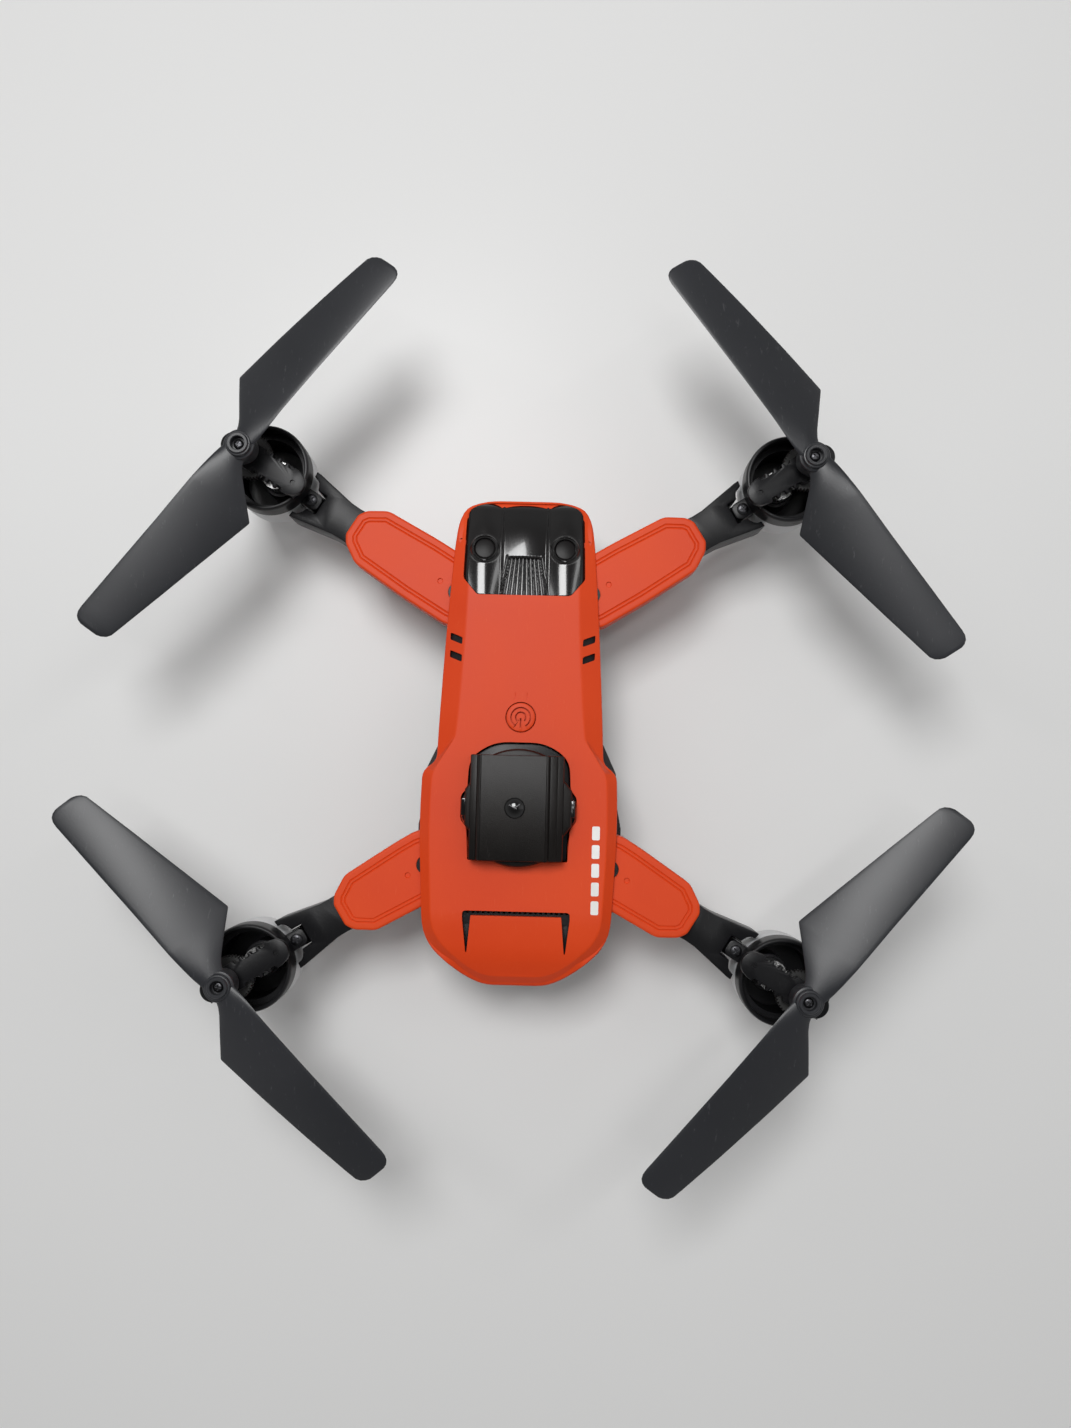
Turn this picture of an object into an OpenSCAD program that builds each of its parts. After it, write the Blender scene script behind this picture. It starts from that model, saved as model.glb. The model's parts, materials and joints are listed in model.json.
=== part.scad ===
// Foldable toy quadcopter: a flat fuselage with four arms that swing about upright hinge bosses.
// Millimetres, +Z up, nose towards +Y, the belly rests on z = 0, the middle of the hubs is on X = Y = 0.

/* [Fuselage] */
// Overall height of the fuselage at its flat top
body_h = 38; // [34:0.5:44]
// Nose tip, measured forwards from the middle of the four hubs
nose_y = 63.5; // [55:0.5:70]
// Tail end, measured backwards from the middle of the four hubs
tail_y = 76; // [68:0.5:84]
// Half width beside the nose panel
nose_half = 20.4; // [18:0.2:24]
// Half width at the waist
waist_half = 23.8; // [21:0.2:26]
// Half width at the shoulders over the rear arms
rear_half = 28.4; // [26:0.2:32]
// Wall thickness of the two shells
wall = 1.6; // [1.2:0.1:2.4]
// Height of the seam between the dark lower shell and the upper shell
seam_z = 22; // [20:0.5:26]

/* [Arms] */
// Hub distance from the centre plane
hub_x = 80; // [70:0.5:90]
// Hub distance ahead of and behind the middle
hub_y = 74.7; // [65:0.5:85]
// Sweep of the arms away from the cross direction
arm_sweep = 31.5; // [25:0.5:40]
// Hub to hinge, front arms
front_reach = 70.9; // [66:0.1:76]
// Hub to hinge, rear arms
rear_reach = 62.7; // [58:0.1:68]
// Underside of the arms
arm_z = 20; // [18:0.5:22]
// Top of the arm covers
cover_z = 34; // [32:0.5:36]
// Half width of an arm cover beside the fuselage
cover_half = 10; // [8:0.2:12]

/* [Motor pods] */
// Outer radius of the pod drum
pod_r = 12.6; // [11:0.1:14]
// Rim of the drum
pod_top = 37; // [35:0.5:39]
// Underside of the drum's black rim, where the lamp cup ends
rim_z = 30; // [29.5:0.1:31]
// Floor of the drum inside the lamp cup
pod_floor = 19; // [17:0.5:21]
// Lowest point of the lamp lens
lens_z = 14; // [10:0.5:16]
// Drum axis, inward of the propeller shaft
pod_offset = 4.2; // [3:0.1:6]
// Screw that ties the pod to the fork, inward of the shaft
fork_screw_u = 18.7; // [17:0.1:20]
// Half width of the bridge bar over the gears
bridge_half = 4; // [3:0.1:5]

/* [Gears] */
// Teeth on the large gear
gear_teeth = 42; // [36:1:48]
// Teeth on the motor pinion
pinion_teeth = 10; // [9:1:12]
// Gear module
gear_m = 0.3; // [0.25:0.05:0.4]
// Play left at each tooth flank
tooth_play = 0.045; // [0.02:0.005:0.08]

/* [Propellers] */
// Tip to tip
prop_d = 132; // [110:1:140]
// Widest part of a blade as seen from above, near the hub
root_chord = 19; // [16:0.5:22]
// Width of a blade at the tip
tip_chord = 11.5; // [8:0.5:14]
// Pitch of the blade at its widest part
root_pitch = 22; // [16:1:30]
// Pitch of the blade at the tip
tip_pitch = 11; // [6:1:18]
// Line that the blades twist about, behind the shaft
twist_line = 2.6; // [1:0.1:4]
// Height of that line
blade_z = 50.8; // [49:0.1:54]
// Top of the hub
hub_top = 53.6; // [52:0.1:56]
// Resting direction of the blades, front left
rest_fl = 53.7; // [0:0.1:180]
// Resting direction of the blades, front right
rest_fr = 124.8; // [0:0.1:180]
// Resting direction of the blades, rear left
rest_rl = 131.7; // [0:0.1:180]
// Resting direction of the blades, rear right
rest_rr = 52.1; // [0:0.1:180]

/* [Sensor head] */
// Half width of the sensor head
head_half = 13.3; // [11:0.1:15]
// Length of the sensor head
head_len = 29.8; // [26:0.2:34]
// Middle of the sensor head, behind the middle of the hubs
head_y = -24.6; // [-30:0.2:-20]
// Top of the sensor head
head_top = 45; // [43:0.2:45]

/* [Battery and controls] */
// Half width of the battery pack
battery_half = 17.4; // [14:0.2:18]
// Front end of the battery pack
battery_front = -14; // [-20:1:-10]
// Power button radius
button_r = 4.2; // [3.5:0.1:5]
// Power button, ahead of the middle of the hubs
button_y = 1.2; // [-1:0.1:4]

/* [Hidden] */
$fn = 48;
plate_z = body_h - wall;
gap_low = 19.5;
gap_high = 34.5;
boss_r = 2.6;
motor_r = 4.25;
pinion_u = gear_m * (gear_teeth + pinion_teeth) / 2;
shaft_r = 0.75;
c_orange = [0.88, 0.33, 0.16];
c_black = [0.07, 0.07, 0.08];
c_grey = [0.22, 0.23, 0.25];
c_steel = [0.62, 0.62, 0.64];
c_dark = [0.16, 0.16, 0.17];
front_pivot = [hub_x - front_reach * cos(arm_sweep), hub_y - front_reach * sin(arm_sweep)];
rear_pivot = [hub_x - rear_reach * cos(arm_sweep), -hub_y + rear_reach * sin(arm_sweep)];

// ---- plan outlines, right side first, mirrored for the left ----

function both(side) = concat(side, [for (i = [len(side) - 1:-1:0]) [-side[i][0], side[i][1]]]);

// Outline of the upper shell, nose to tail
top_side = [
    [12.5, nose_y],
    [17.4, nose_y - 1.4],
    [19.4, nose_y - 5],
    [nose_half, nose_y - 11],
    [waist_half - 1.5, 25.5],
    [waist_half - 0.4, 5],
    [waist_half + 0.4, -11.5],
    [rear_half - 0.3, -15],
    [rear_half, -24],
    [rear_half, -34],
    [rear_half - 1.3, -60],
    [rear_half - 3.9, -65.4],
    [rear_half - 8.4, -69.6],
    [rear_half - 14, -73.6],
    [9, -tail_y]];

// The lower shell is a little wider where it carries the rear hinges
low_side = [
    [12.5, nose_y - 0.6],
    [17.2, nose_y - 2],
    [19.2, nose_y - 5.5],
    [nose_half, nose_y - 11],
    [waist_half - 1.5, 25.5],
    [waist_half - 0.2, 5],
    [waist_half + 0.4, -4.5],
    [rear_half + 0.4, -14.5],
    [rear_half + 0.8, -24],
    [rear_half + 2.2, -31],
    [rear_half + 2.2, -50],
    [rear_half - 1.3, -60.4],
    [rear_half - 4.1, -65.4],
    [rear_half - 8.6, -69.6],
    [rear_half - 14.2, -73.4],
    [9, -tail_y + 0.4]];

// Between the shells the body draws in beside the hinges, so that the arms can swing
core_side = [
    [12.5, nose_y - 0.6],
    [17.2, nose_y - 2],
    [19.2, nose_y - 5.5],
    [19.6, 52],
    [8.6, 47.6],
    [8.6, 27.5],
    [12.6, 24],
    [21.5, 5],
    [22.8, -1],
    [15.8, -35],
    [15.8, -51.5],
    [21.5, -53],
    [27.2, -57],
    [rear_half - 1.7, -60.4],
    [rear_half - 4.3, -65.4],
    [rear_half - 8.8, -69.6],
    [rear_half - 14.4, -73.4],
    [9, -tail_y + 0.4]];

module top_outline() polygon(both(top_side));
module low_outline() polygon(both(low_side));
module core_outline() polygon(both(core_side));

// Profile seen from the side, extruded across the body: it falls away at nose and tail
module side_profile(drop) {
    translate([-40, 0, 0])
        rotate([90, 0, 90])
            linear_extrude(80)
                polygon([
                    [nose_y + 2, 0],
                    [nose_y + 2, body_h - 6.4 - drop],
                    [nose_y - 1, body_h - 4.6 - drop],
                    [nose_y - 7, body_h - 2.6 - drop],
                    [48, body_h - 1.1 - drop],
                    [36.5, body_h - drop],
                    [-55, body_h - drop],
                    [-67, body_h - 1.4 - drop],
                    [-tail_y + 3, body_h - 3.6 - drop],
                    [-tail_y - 2, body_h - 6.2 - drop],
                    [-tail_y - 2, 0]]);
}

// Profile seen from the front, extruded along the body, flat to half width flat and then sloping
module front_profile(flat, edge, edge_z, y0, y1, drop) {
    translate([0, y1, 0])
        rotate([90, 0, 0])
            linear_extrude(y1 - y0)
                polygon([
                    [-edge, 0],
                    [edge, 0],
                    [edge, edge_z - drop],
                    [flat, body_h - drop],
                    [-flat, body_h - drop],
                    [-edge, edge_z - drop]]);
}

// The solid under the roof, lowered by drop
module under_roof(drop) {
    intersection() {
        side_profile(drop);
        union() {
            front_profile(15.8, waist_half + 1.2, body_h - 2.9, -14, nose_y + 3, drop);
            front_profile(rear_half - 3, rear_half + 1, body_h - 2.9, -tail_y - 3, -14, drop);
            linear_extrude(body_h - drop)
                polygon([
                    [16.6, 0],
                    [rear_half - 3, -14],
                    [rear_half - 3, -16],
                    [-rear_half + 3, -16],
                    [-rear_half + 3, -14],
                    [-16.6, 0]]);
        }
    }
}

module panel_outline(d) {
    polygon([
        [14.6 - d, nose_y - 1.6 - d],
        [16.4 - d, nose_y - 4.2 - d],
        [16.8 - d, 41.2 + d / 2],
        [13.4 - d / 2, 36.6 + d],
        [-13.4 + d / 2, 36.6 + d],
        [-16.8 + d, 41.2 + d / 2],
        [-16.4 + d, nose_y - 4.2 - d],
        [-14.6 + d, nose_y - 1.6 - d]]);
}

module head_opening() {
    polygon([
        [7.2, -6.2],
        [14.6, -11.4],
        [14.6, -18],
        [16.6, -20.5],
        [16.6, -29],
        [14.6, -31.5],
        [14.2, -40.6],
        [-14.2, -40.6],
        [-14.6, -31.5],
        [-16.6, -29],
        [-16.6, -20.5],
        [-14.6, -18],
        [-14.6, -11.4],
        [-7.2, -6.2]]);
}

module hinge_points() {
    for (s = [-1, 1]) {
        translate([s * front_pivot[0], front_pivot[1], 0])
            children();
        translate([s * rear_pivot[0], rear_pivot[1], 0])
            children();
    }
}

// U-shaped slot of the tail vent: a front slit and two legs that taper away
module tail_slot() {
    translate([-15, -55.6])
        square([30, 1.3]);
    for (s = [-1, 1])
        polygon([
            [s * 15, -54.3],
            [s * 13.2, -55.6],
            [s * 13.9, -66],
            [s * 14.1, -66]]);
}

module side_vent(s, y) {
    translate([s * 19.2, y])
        rotate(s * 25)
            square([3.2, 1.7], center = true);
}

// ---- fuselage ----

module top_shell() {
    color(c_orange)
        difference() {
            union() {
                // roof plate, cut back under the slopes
                difference() {
                    intersection() {
                        translate([0, 0, gap_high])
                            linear_extrude(body_h - gap_high)
                                top_outline();
                        under_roof(0);
                    }
                    intersection() {
                        translate([0, 0, gap_high - 1])
                            linear_extrude(body_h)
                                offset(delta = -wall)
                                    top_outline();
                        under_roof(wall);
                    }
                }
                // inner wall from the seam up to the roof
                intersection() {
                    translate([0, 0, seam_z])
                        linear_extrude(body_h - seam_z)
                            difference() {
                                core_outline();
                                offset(delta = -wall)
                                    core_outline();
                            }
                    under_roof(0.4);
                }
                // pads that close the hinge bosses
                intersection() {
                    hinge_points()
                        translate([0, 0, gap_high])
                            cylinder(r = 3.6, h = 3);
                    linear_extrude(60)
                        offset(delta = -0.3)
                            top_outline();
                    under_roof(0.3);
                }
            }
            // nose panel seat
            translate([0, 0, 30])
                linear_extrude(20)
                    panel_outline(0);
            // power button
            translate([0, button_y, 30])
                cylinder(r = button_r + 0.15, h = 20);
            // sensor head
            translate([0, 0, 30])
                linear_extrude(20)
                    head_opening();
            // tail vent and side vents
            translate([0, 0, 30])
                linear_extrude(20)
                    tail_slot();
            for (s = [-1, 1])
                for (y = [18.6, 23.7])
                    translate([0, 0, 30])
                        linear_extrude(20)
                            side_vent(s, y);
            // pilot holes over the hinges
            hinge_points()
                translate([0, 0, gap_high - 1])
                    cylinder(r = 1, h = 1.8);
        }
}

module battery_bay(grow) {
    translate([-battery_half - grow, -tail_y - 5, 2 - grow])
        cube([2 * (battery_half + grow), tail_y + 5 + battery_front + grow, 15.6 + 2 * grow]);
}

module bottom_shell() {
    color(c_black)
        difference() {
            union() {
                difference() {
                    // outer hull with bevelled lower edges
                    intersection() {
                        linear_extrude(gap_low)
                            low_outline();
                        front_profile_low();
                        side_profile_low();
                    }
                    // hollow inside under the deck
                    intersection() {
                        translate([0, 0, wall])
                            linear_extrude(gap_low - 2 * wall)
                                offset(delta = -wall)
                                    low_outline();
                        translate([0, 0, wall])
                            front_profile_low();
                        side_profile_low();
                    }
                }
                // wall between the shells, up to the seam
                translate([0, 0, gap_low])
                    linear_extrude(seam_z - gap_low)
                        difference() {
                            core_outline();
                            offset(delta = -wall)
                                core_outline();
                        }
                // hinge columns and bosses
                intersection() {
                    hinge_points()
                        cylinder(r = 4, h = gap_low);
                    linear_extrude(gap_low)
                        low_outline();
                    front_profile_low();
                }
                hinge_points()
                    translate([0, 0, gap_low - 1])
                        cylinder(r = boss_r, h = gap_high - gap_low + 1);
                // walls of the battery bay
                for (s = [-1, 1])
                    translate([s * (battery_half + 1) - 0.7, -67, 1])
                        cube([1.4, 67 + battery_front + 2.2, gap_low - 2]);
                translate([-battery_half - 1, battery_front + 0.6, 1])
                    cube([2 * battery_half + 2, 1.4, gap_low - 2]);
                // board posts
                for (s = [-1, 1])
                    for (y = [-6, 19])
                        translate([s * 8.6, y, 1])
                            cylinder(r = 2.2, h = 20);
                // cheeks that carry the camera
                for (s = [-1, 1])
                    translate([s * 10.6 - 0.9, 48, 1])
                        cube([1.8, 12.5, gap_low - 2]);
            }
            // open the deck over the board
            translate([0, 0, gap_low - 2.5])
                linear_extrude(2.6)
                    intersection() {
                        offset(delta = -wall)
                            core_outline();
                        difference() {
                            translate([-30, battery_front + 2])
                                square([60, 33.5 - battery_front]);
                            for (s = [-1, 1])
                                for (y = [-6, 19])
                                    translate([s * 8.6, y])
                                        circle(r = 2.2);
                        }
                    }
            // battery bay, open to the rear
            battery_bay(0.3);
            // camera window in the nose
            translate([-9.4, 47.4, 2.6])
                cube([18.8, 20, 15.2]);
            translate([-30, 56, 11.4])
                rotate([0, 90, 0])
                    cylinder(r = 1.26, h = 60);
            // belly camera
            translate([0, 20, -1])
                cylinder(r = 3.3, h = 4);
            // screw holes through the hinge bosses
            hinge_points() {
                translate([0, 0, -1])
                    cylinder(r = 1, h = gap_high + 2);
                translate([0, 0, -1])
                    cylinder(r = 2.1, h = 4);
            }
            // board screws bite here
            for (s = [-1, 1])
                for (y = [-6, 19])
                    translate([s * 8.6, y, 15])
                        cylinder(r = 0.7, h = 10);
        }
}

module front_profile_low() {
    translate([0, nose_y + 5, 0])
        rotate([90, 0, 0])
            linear_extrude(nose_y + tail_y + 10)
                polygon([
                    [-rear_half - 4, 30],
                    [-rear_half - 4, 11],
                    [-rear_half + 0.5, 5],
                    [-rear_half + 6, 0],
                    [rear_half - 6, 0],
                    [rear_half - 0.5, 5],
                    [rear_half + 4, 11],
                    [rear_half + 4, 30]]);
}

module side_profile_low() {
    translate([-40, 0, 0])
        rotate([90, 0, 90])
            linear_extrude(80)
                polygon([
                    [nose_y + 2, 30],
                    [nose_y + 2, 8],
                    [nose_y - 4, 2.4],
                    [nose_y - 12, 0],
                    [-tail_y + 8, 0],
                    [-tail_y - 2, 8],
                    [-tail_y - 2, 30]]);
}

module nose_panel() {
    color(c_black)
        difference() {
            union() {
                // glossy inset plate under the line of the roof
                intersection() {
                    translate([0, 0, 32])
                        linear_extrude(8)
                            panel_outline(0.12);
                    difference() {
                        side_profile(0.5);
                        side_profile(2.4);
                    }
                }
                // two ridges beside the centre channel
                for (s = [-1, 1])
                    intersection() {
                        translate([s * 6.9 - 0.45, 37.2, 32])
                            cube([0.9, 23, 8]);
                        difference() {
                            side_profile(0.1);
                            side_profile(1.2);
                        }
                    }
            }
            // lamp holes
            for (s = [-1, 1])
                translate([s * 11.7, 50.2, 30])
                    cylinder(r = 3.2, h = 10);
            // slots between the ribs of the small grille
            for (i = [-4:4])
                translate([i * 1.1 - 0.3, 38, 36.5])
                    cube([0.6, 8.6, 4]);
        }
}

module nose_lamps() {
    color([0.16, 0.16, 0.18])
        for (s = [-1, 1])
            translate([s * 11.7, 50.2, 0]) {
                translate([0, 0, 32.6])
                    cylinder(r = 3.1, h = 3.4);
                translate([0, 0, 31.4])
                    cylinder(r = 4, h = 1.4);
            }
}

module power_button() {
    color(c_orange)
        translate([0, button_y, 0])
            difference() {
                union() {
                    translate([0, 0, 35.2])
                        cylinder(r = button_r, h = body_h - 35.2);
                    translate([0, 0, 35])
                        cylinder(r = button_r + 1.1, h = plate_z - 35.1);
                    translate([0, 0, 24.4])
                        cylinder(r = 1.5, h = 11);
                }
                translate([0, 0, body_h - 0.35])
                    difference() {
                        cylinder(r = button_r - 0.9, h = 1);
                        translate([0, 0, -1])
                            cylinder(r = button_r - 1.35, h = 3);
                    }
            }
}

module vent_screens() {
    color(c_black) {
        // toothed strip under the tail vent
        difference() {
            union() {
                translate([-15.8, -58, plate_z - 1.7])
                    cube([31.6, 4, 1.2]);
                for (s = [-1, 1])
                    translate([s * 14.6 - 1.9, -67, 33.2])
                        cube([3.8, 9.2, 1.2]);
                for (s = [-1, 1])
                    translate([s * 14.4 - 1.4, -58.4, 33.2])
                        cube([2.8, 1, 2.6]);
            }
            for (i = [-9:9])
                translate([i * 1.5 - 0.4, -55.5, plate_z - 2.5])
                    cube([0.8, 1.1, 3]);
        }
        // thin screens that close the side vents, flush under the slope of the roof
        intersection() {
            difference() {
                under_roof(wall + 0.04);
                under_roof(wall + 0.44);
            }
            union()
                for (s = [-1, 1])
                    translate([s * 18.85 - 1.7, 16.4, cover_z + 0.25])
                        cube([3.4, 9.4, 6]);
        }
    }
}

// Block of the head with its round middle, from height z up
module head_mass(z) {
    translate([-head_half, head_y - head_len / 2, z])
        cube([2 * head_half, head_len, head_top - 1.2 - z]);
    intersection() {
        translate([0, head_y, z])
            cylinder(r = 16.9, h = plate_z + 6.2 - z, $fn = 96);
        translate([-15.4, -60, z])
            cube([30.8, 60, 8]);
    }
}

module turret_housing() {
    y0 = head_y - head_len / 2;
    color(c_grey)
        difference() {
            union() {
                // base flange, held up against the roof
                intersection() {
                    translate([0, 0, 34.8])
                        linear_extrude(plate_z - 34.8)
                            offset(delta = 1.6)
                                head_opening();
                    translate([0, 0, 30])
                        linear_extrude(20)
                            offset(delta = -wall - 0.15)
                                core_outline();
                }
                // neck that fills the opening
                translate([0, 0, plate_z - 0.1])
                    linear_extrude(1)
                        offset(delta = -0.25)
                            head_opening();
                // foot of the head, inside the opening
                intersection() {
                    translate([0, 0, plate_z])
                        linear_extrude(2)
                            offset(delta = -0.25)
                                head_opening();
                    head_mass(plate_z);
                }
                // the head stands just clear of the roof
                head_mass(body_h + 0.12);
                translate([-10.2, y0, head_top - 1.3])
                    cube([20.4, head_len, 1.3]);
            }
            // hollow inside
            translate([-head_half + 1.4, y0 + 1.4, 30])
                cube([2 * head_half - 2.8, head_len - 2.8, head_top - 31.6]);
            // window seats
            for (s = [-1, 1])
                translate([s * 15 - 1.4, head_y - 2.5, 39])
                    cube([2.8, 5, 3]);
            translate([-2.6, y0 + head_len - 1.5, 39.4])
                cube([5.2, 3.5, 3]);
            translate([-2.6, y0 - 3, 39.4])
                cube([5.2, 5, 3]);
            translate([0, head_y, head_top - 1.2])
                cylinder(r = 3.2, h = 3);
        }
}

module turret_windows() {
    y0 = head_y - head_len / 2;
    color([0.02, 0.02, 0.03]) {
        for (s = [-1, 1])
            translate([s * 14.9 - 1.3, head_y - 2.5, 39])
                cube([2.6, 5, 3]);
        translate([-2.6, y0 + head_len - 1.5, 39.4])
            cube([5.2, 1.6, 3]);
        translate([-2.6, y0 - 1.2, 39.4])
            cube([5.2, 2.6, 3]);
        translate([0, head_y, head_top - 1.2])
            rotate_extrude()
                polygon([
                    [0, 0],
                    [3.15, 0],
                    [3.15, 0.9],
                    [2.4, 1],
                    [2, 1.35],
                    [1.2, 1.65],
                    [0, 1.75]]);
    }
}

module battery_pack() {
    color(c_grey)
        difference() {
            intersection() {
                translate([-battery_half, -tail_y - 1, 2])
                    cube([2 * battery_half, tail_y + 1 + battery_front, 15.6]);
                linear_extrude(40)
                    offset(delta = -0.5)
                        low_outline();
                side_profile_low();
            }
            // charging socket in the rear end
            translate([-4.2, -tail_y - 2, 8])
                cube([8.4, 7, 3]);
            // finger grooves across the top of the rear end
            for (i = [0:2])
                translate([-9, -tail_y + 3 + i * 2.2, 17])
                    cube([18, 1, 2]);
        }
}

module main_board() {
    color([0.05, 0.3, 0.16])
        difference() {
            union() {
                translate([-11, -9.5, 21])
                    cube([22, 32, 1.4]);
                translate([-3, button_y - 3, 22.3])
                    cube([6, 6, 1.1]);
                translate([-8, 8, 22.3])
                    cube([7, 7, 1.4]);
                translate([3, 8, 22.3])
                    cube([5, 5, 1]);
            }
            for (s = [-1, 1])
                for (y = [-6, 19])
                    translate([s * 8.6, y, 20])
                        cylinder(r = 0.8, h = 4);
        }
}

module camera_pod() {
    color(c_black)
        translate([0, 56, 11.4])
            difference() {
                union() {
                    rotate([0, 90, 0])
                        translate([0, 0, -8.4])
                            cylinder(r = 5.4, h = 16.8);
                    rotate([0, 90, 0])
                        translate([0, 0, -11.2])
                            cylinder(r = 1.2, h = 22.4);
                    rotate([-90, 0, 0])
                        cylinder(r = 4.4, h = 6.2);
                }
                translate([0, 3, 0])
                    rotate([-90, 0, 0])
                        cylinder(r = 3.2, h = 8);
            }
}

module camera_lens() {
    color([0.03, 0.03, 0.06])
        translate([0, 59, 11.4])
            rotate([-90, 0, 0])
                rotate_extrude()
                    polygon([
                        [0, 0],
                        [3.2, 0],
                        [3.2, 1.6],
                        [2.4, 2.1],
                        [1.2, 2.5],
                        [0, 2.6]]);
}

module flow_camera() {
    color([0.03, 0.03, 0.04])
        translate([0, 20, 0]) {
            translate([0, 0, 0.5])
                cylinder(r = 3.2, h = 2);
            translate([0, 0, wall])
                cylinder(r = 4.6, h = 2.4);
        }
}

module case_screws() {
    color(c_steel)
        hinge_points()
            difference() {
                union() {
                    translate([0, 0, 1.6])
                        cylinder(r = 2, h = 1.4);
                    translate([0, 0, 2.5])
                        cylinder(r = 0.95, h = 32.6);
                }
                translate([-1.2, -0.2, 0])
                    cube([2.4, 0.4, 2.2]);
                translate([-0.2, -1.2, 0])
                    cube([0.4, 2.4, 2.2]);
            }
}

// ---- one arm, drawn with the propeller shaft at the origin and the hinge on +X ----

module at_corner(sx, sy) {
    translate([sx * hub_x, sy * hub_y, 0])
        rotate(atan2(-sy * sin(arm_sweep), -sx * cos(arm_sweep)))
            children();
}

module arm_part(reach) {
    color(c_black)
        difference() {
            union() {
                // beam from the hinge out to the neck
                translate([0, 0, arm_z])
                    linear_extrude(12)
                        polygon([
                            [reach, 8],
                            [41, 7.4],
                            [34.4, 5.4],
                            [29, 5.7],
                            [26, 5.9],
                            [26, -5.9],
                            [29, -5.7],
                            [34.4, -5.4],
                            [41, -7.4],
                            [reach, -8]]);
                translate([reach, 0, arm_z])
                    cylinder(r = 9.4, h = 12);
                // fork that reaches round the pod
                for (s = [-1, 1])
                    translate([0, 0, arm_z])
                        linear_extrude(11)
                            polygon([
                                [29.5, s * 2.6],
                                [29.5, s * 5.7],
                                [25.5, s * 6.3],
                                [19.5, s * 7.3],
                                [15.9, s * 7.8],
                                [16.1, s * 6],
                                [17.3, s * 5.9],
                                [18.2, s * 5.2],
                                [18.8, s * 4.2],
                                [19.2, s * 3.2],
                                [22.4, s * 3.2],
                                [22.6, s * 2.6]]);
                // tongue under the pod's lug
                translate([16.9, -3, arm_z])
                    cube([12, 6, 4]);
            }
            // hinge bore
            translate([reach, 0, 0])
                cylinder(r = boss_r + 0.06, h = 60);
            // wire channel, closed by the cover
            translate([32, -2.6, arm_z + 2])
                cube([reach - 32 - 8, 5.2, 20]);
            // fork screw
            translate([fork_screw_u, 0, arm_z + 0.8])
                cylinder(r = 0.85, h = 20);
            // clear the drum
            translate([pod_offset, 0, 0])
                cylinder(r = pod_r + 0.05, h = 60, $fn = 96);
        }
}

module cover_outline(reach, d) {
    polygon([
        [33.8 + d, -3.2 + d / 3],
        [35.4 + d, -5.6 + d / 2],
        [40.8 + d / 3, -9.2 + d],
        [58, -cover_half + d],
        [reach, -cover_half + d],
        [reach, cover_half - d],
        [58, cover_half - d],
        [40.8 + d / 3, 9.2 - d],
        [35.4 + d, 5.6 - d / 2],
        [33.8 + d, 3.2 - d / 3]]);
}

module cover_part(reach) {
    color(c_orange)
        difference() {
            union() {
                translate([0, 0, 32])
                    linear_extrude(cover_z - 32)
                        cover_outline(reach, 0);
                translate([reach, 0, 32])
                    cylinder(r = cover_half, h = cover_z - 32, $fn = 96);
                // skirts down both sides of the beam
                translate([0, 0, 27])
                    linear_extrude(5.2)
                        intersection() {
                            difference() {
                                cover_outline(reach, 0);
                                cover_outline(reach, 1.2);
                            }
                            translate([40.8, -20])
                                square([reach - 40.8 - 9.5, 40]);
                        }
            }
            translate([reach, 0, 20])
                cylinder(r = boss_r + 0.06, h = 60);
            // moulding pit
            translate([reach - 6, 0, cover_z - 0.4])
                cylinder(r = 0.8, h = 1);
        }
}

module pod_part() {
    color(c_black)
        difference() {
            union() {
                // rim of full width over a narrower drum inside the lamp cup
                translate([pod_offset, 0, 0])
                    rotate_extrude($fn = 96)
                        polygon([
                            [0, pod_floor],
                            [pod_r - 1.6, pod_floor],
                            [pod_r - 1.6, rim_z],
                            [pod_r, rim_z],
                            [pod_r, pod_top],
                            [pod_r - 1.2, pod_top],
                            [pod_r - 1.2, rim_z + 1.2],
                            [pod_r - 2.8, rim_z + 1.2],
                            [pod_r - 2.8, pod_floor + 1.5],
                            [0, pod_floor + 1.5]]);
                // motor socket
                translate([pinion_u, 0, pod_floor])
                    cylinder(r = motor_r + 1.1, h = 12);
                // lower bearing post of the propeller shaft
                translate([0, 0, pod_floor])
                    cylinder(r = 2.1, h = 18.4);
                translate([-6.2, -0.7, pod_floor])
                    cube([5.2, 1.4, 14]);
                // lug that the fork screw goes through
                translate([14.6, -2.6, arm_z + 4])
                    cube([7, 5.2, 6]);
            }
            translate([pinion_u, 0, pod_floor + 1.5])
                cylinder(r = motor_r + 0.02, h = 30);
            translate([0, 0, 21])
                cylinder(r = shaft_r + 0.05, h = 30);
            translate([fork_screw_u, 0, 0])
                cylinder(r = 0.85, h = 60);
        }
}

module bridge_part() {
    color(c_black)
        difference() {
            union() {
                translate([-5, -bridge_half, 41])
                    cube([20.4, 2 * bridge_half, 2.2]);
                translate([15.4, 0, 41])
                    cylinder(r = bridge_half - 0.4, h = 2.2);
                translate([-5, 0, 41])
                    cylinder(r = bridge_half - 0.4, h = 2.2);
                // feet on the rim of the drum
                intersection() {
                    translate([0, 0, pod_top])
                        linear_extrude(4.1)
                            difference() {
                                translate([pod_offset, 0])
                                    circle(r = pod_r, $fn = 96);
                                translate([pod_offset, 0])
                                    circle(r = pod_r - 1.2, $fn = 96);
                            }
                    translate([-12, -3.4, 0])
                        cube([40, 6.8, 60]);
                }
            }
            translate([0, 0, 30])
                cylinder(r = shaft_r + 0.05, h = 20);
            // notches along both long edges
            for (s = [-1, 1])
                for (i = [0:2])
                    translate([5.2 + i * 3.3, s * bridge_half - 0.9, 40])
                        cube([1.6, 1.8, 5]);
            translate([15.4, 0, 42.8])
                cylinder(r = 0.7, h = 1);
        }
}

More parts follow.
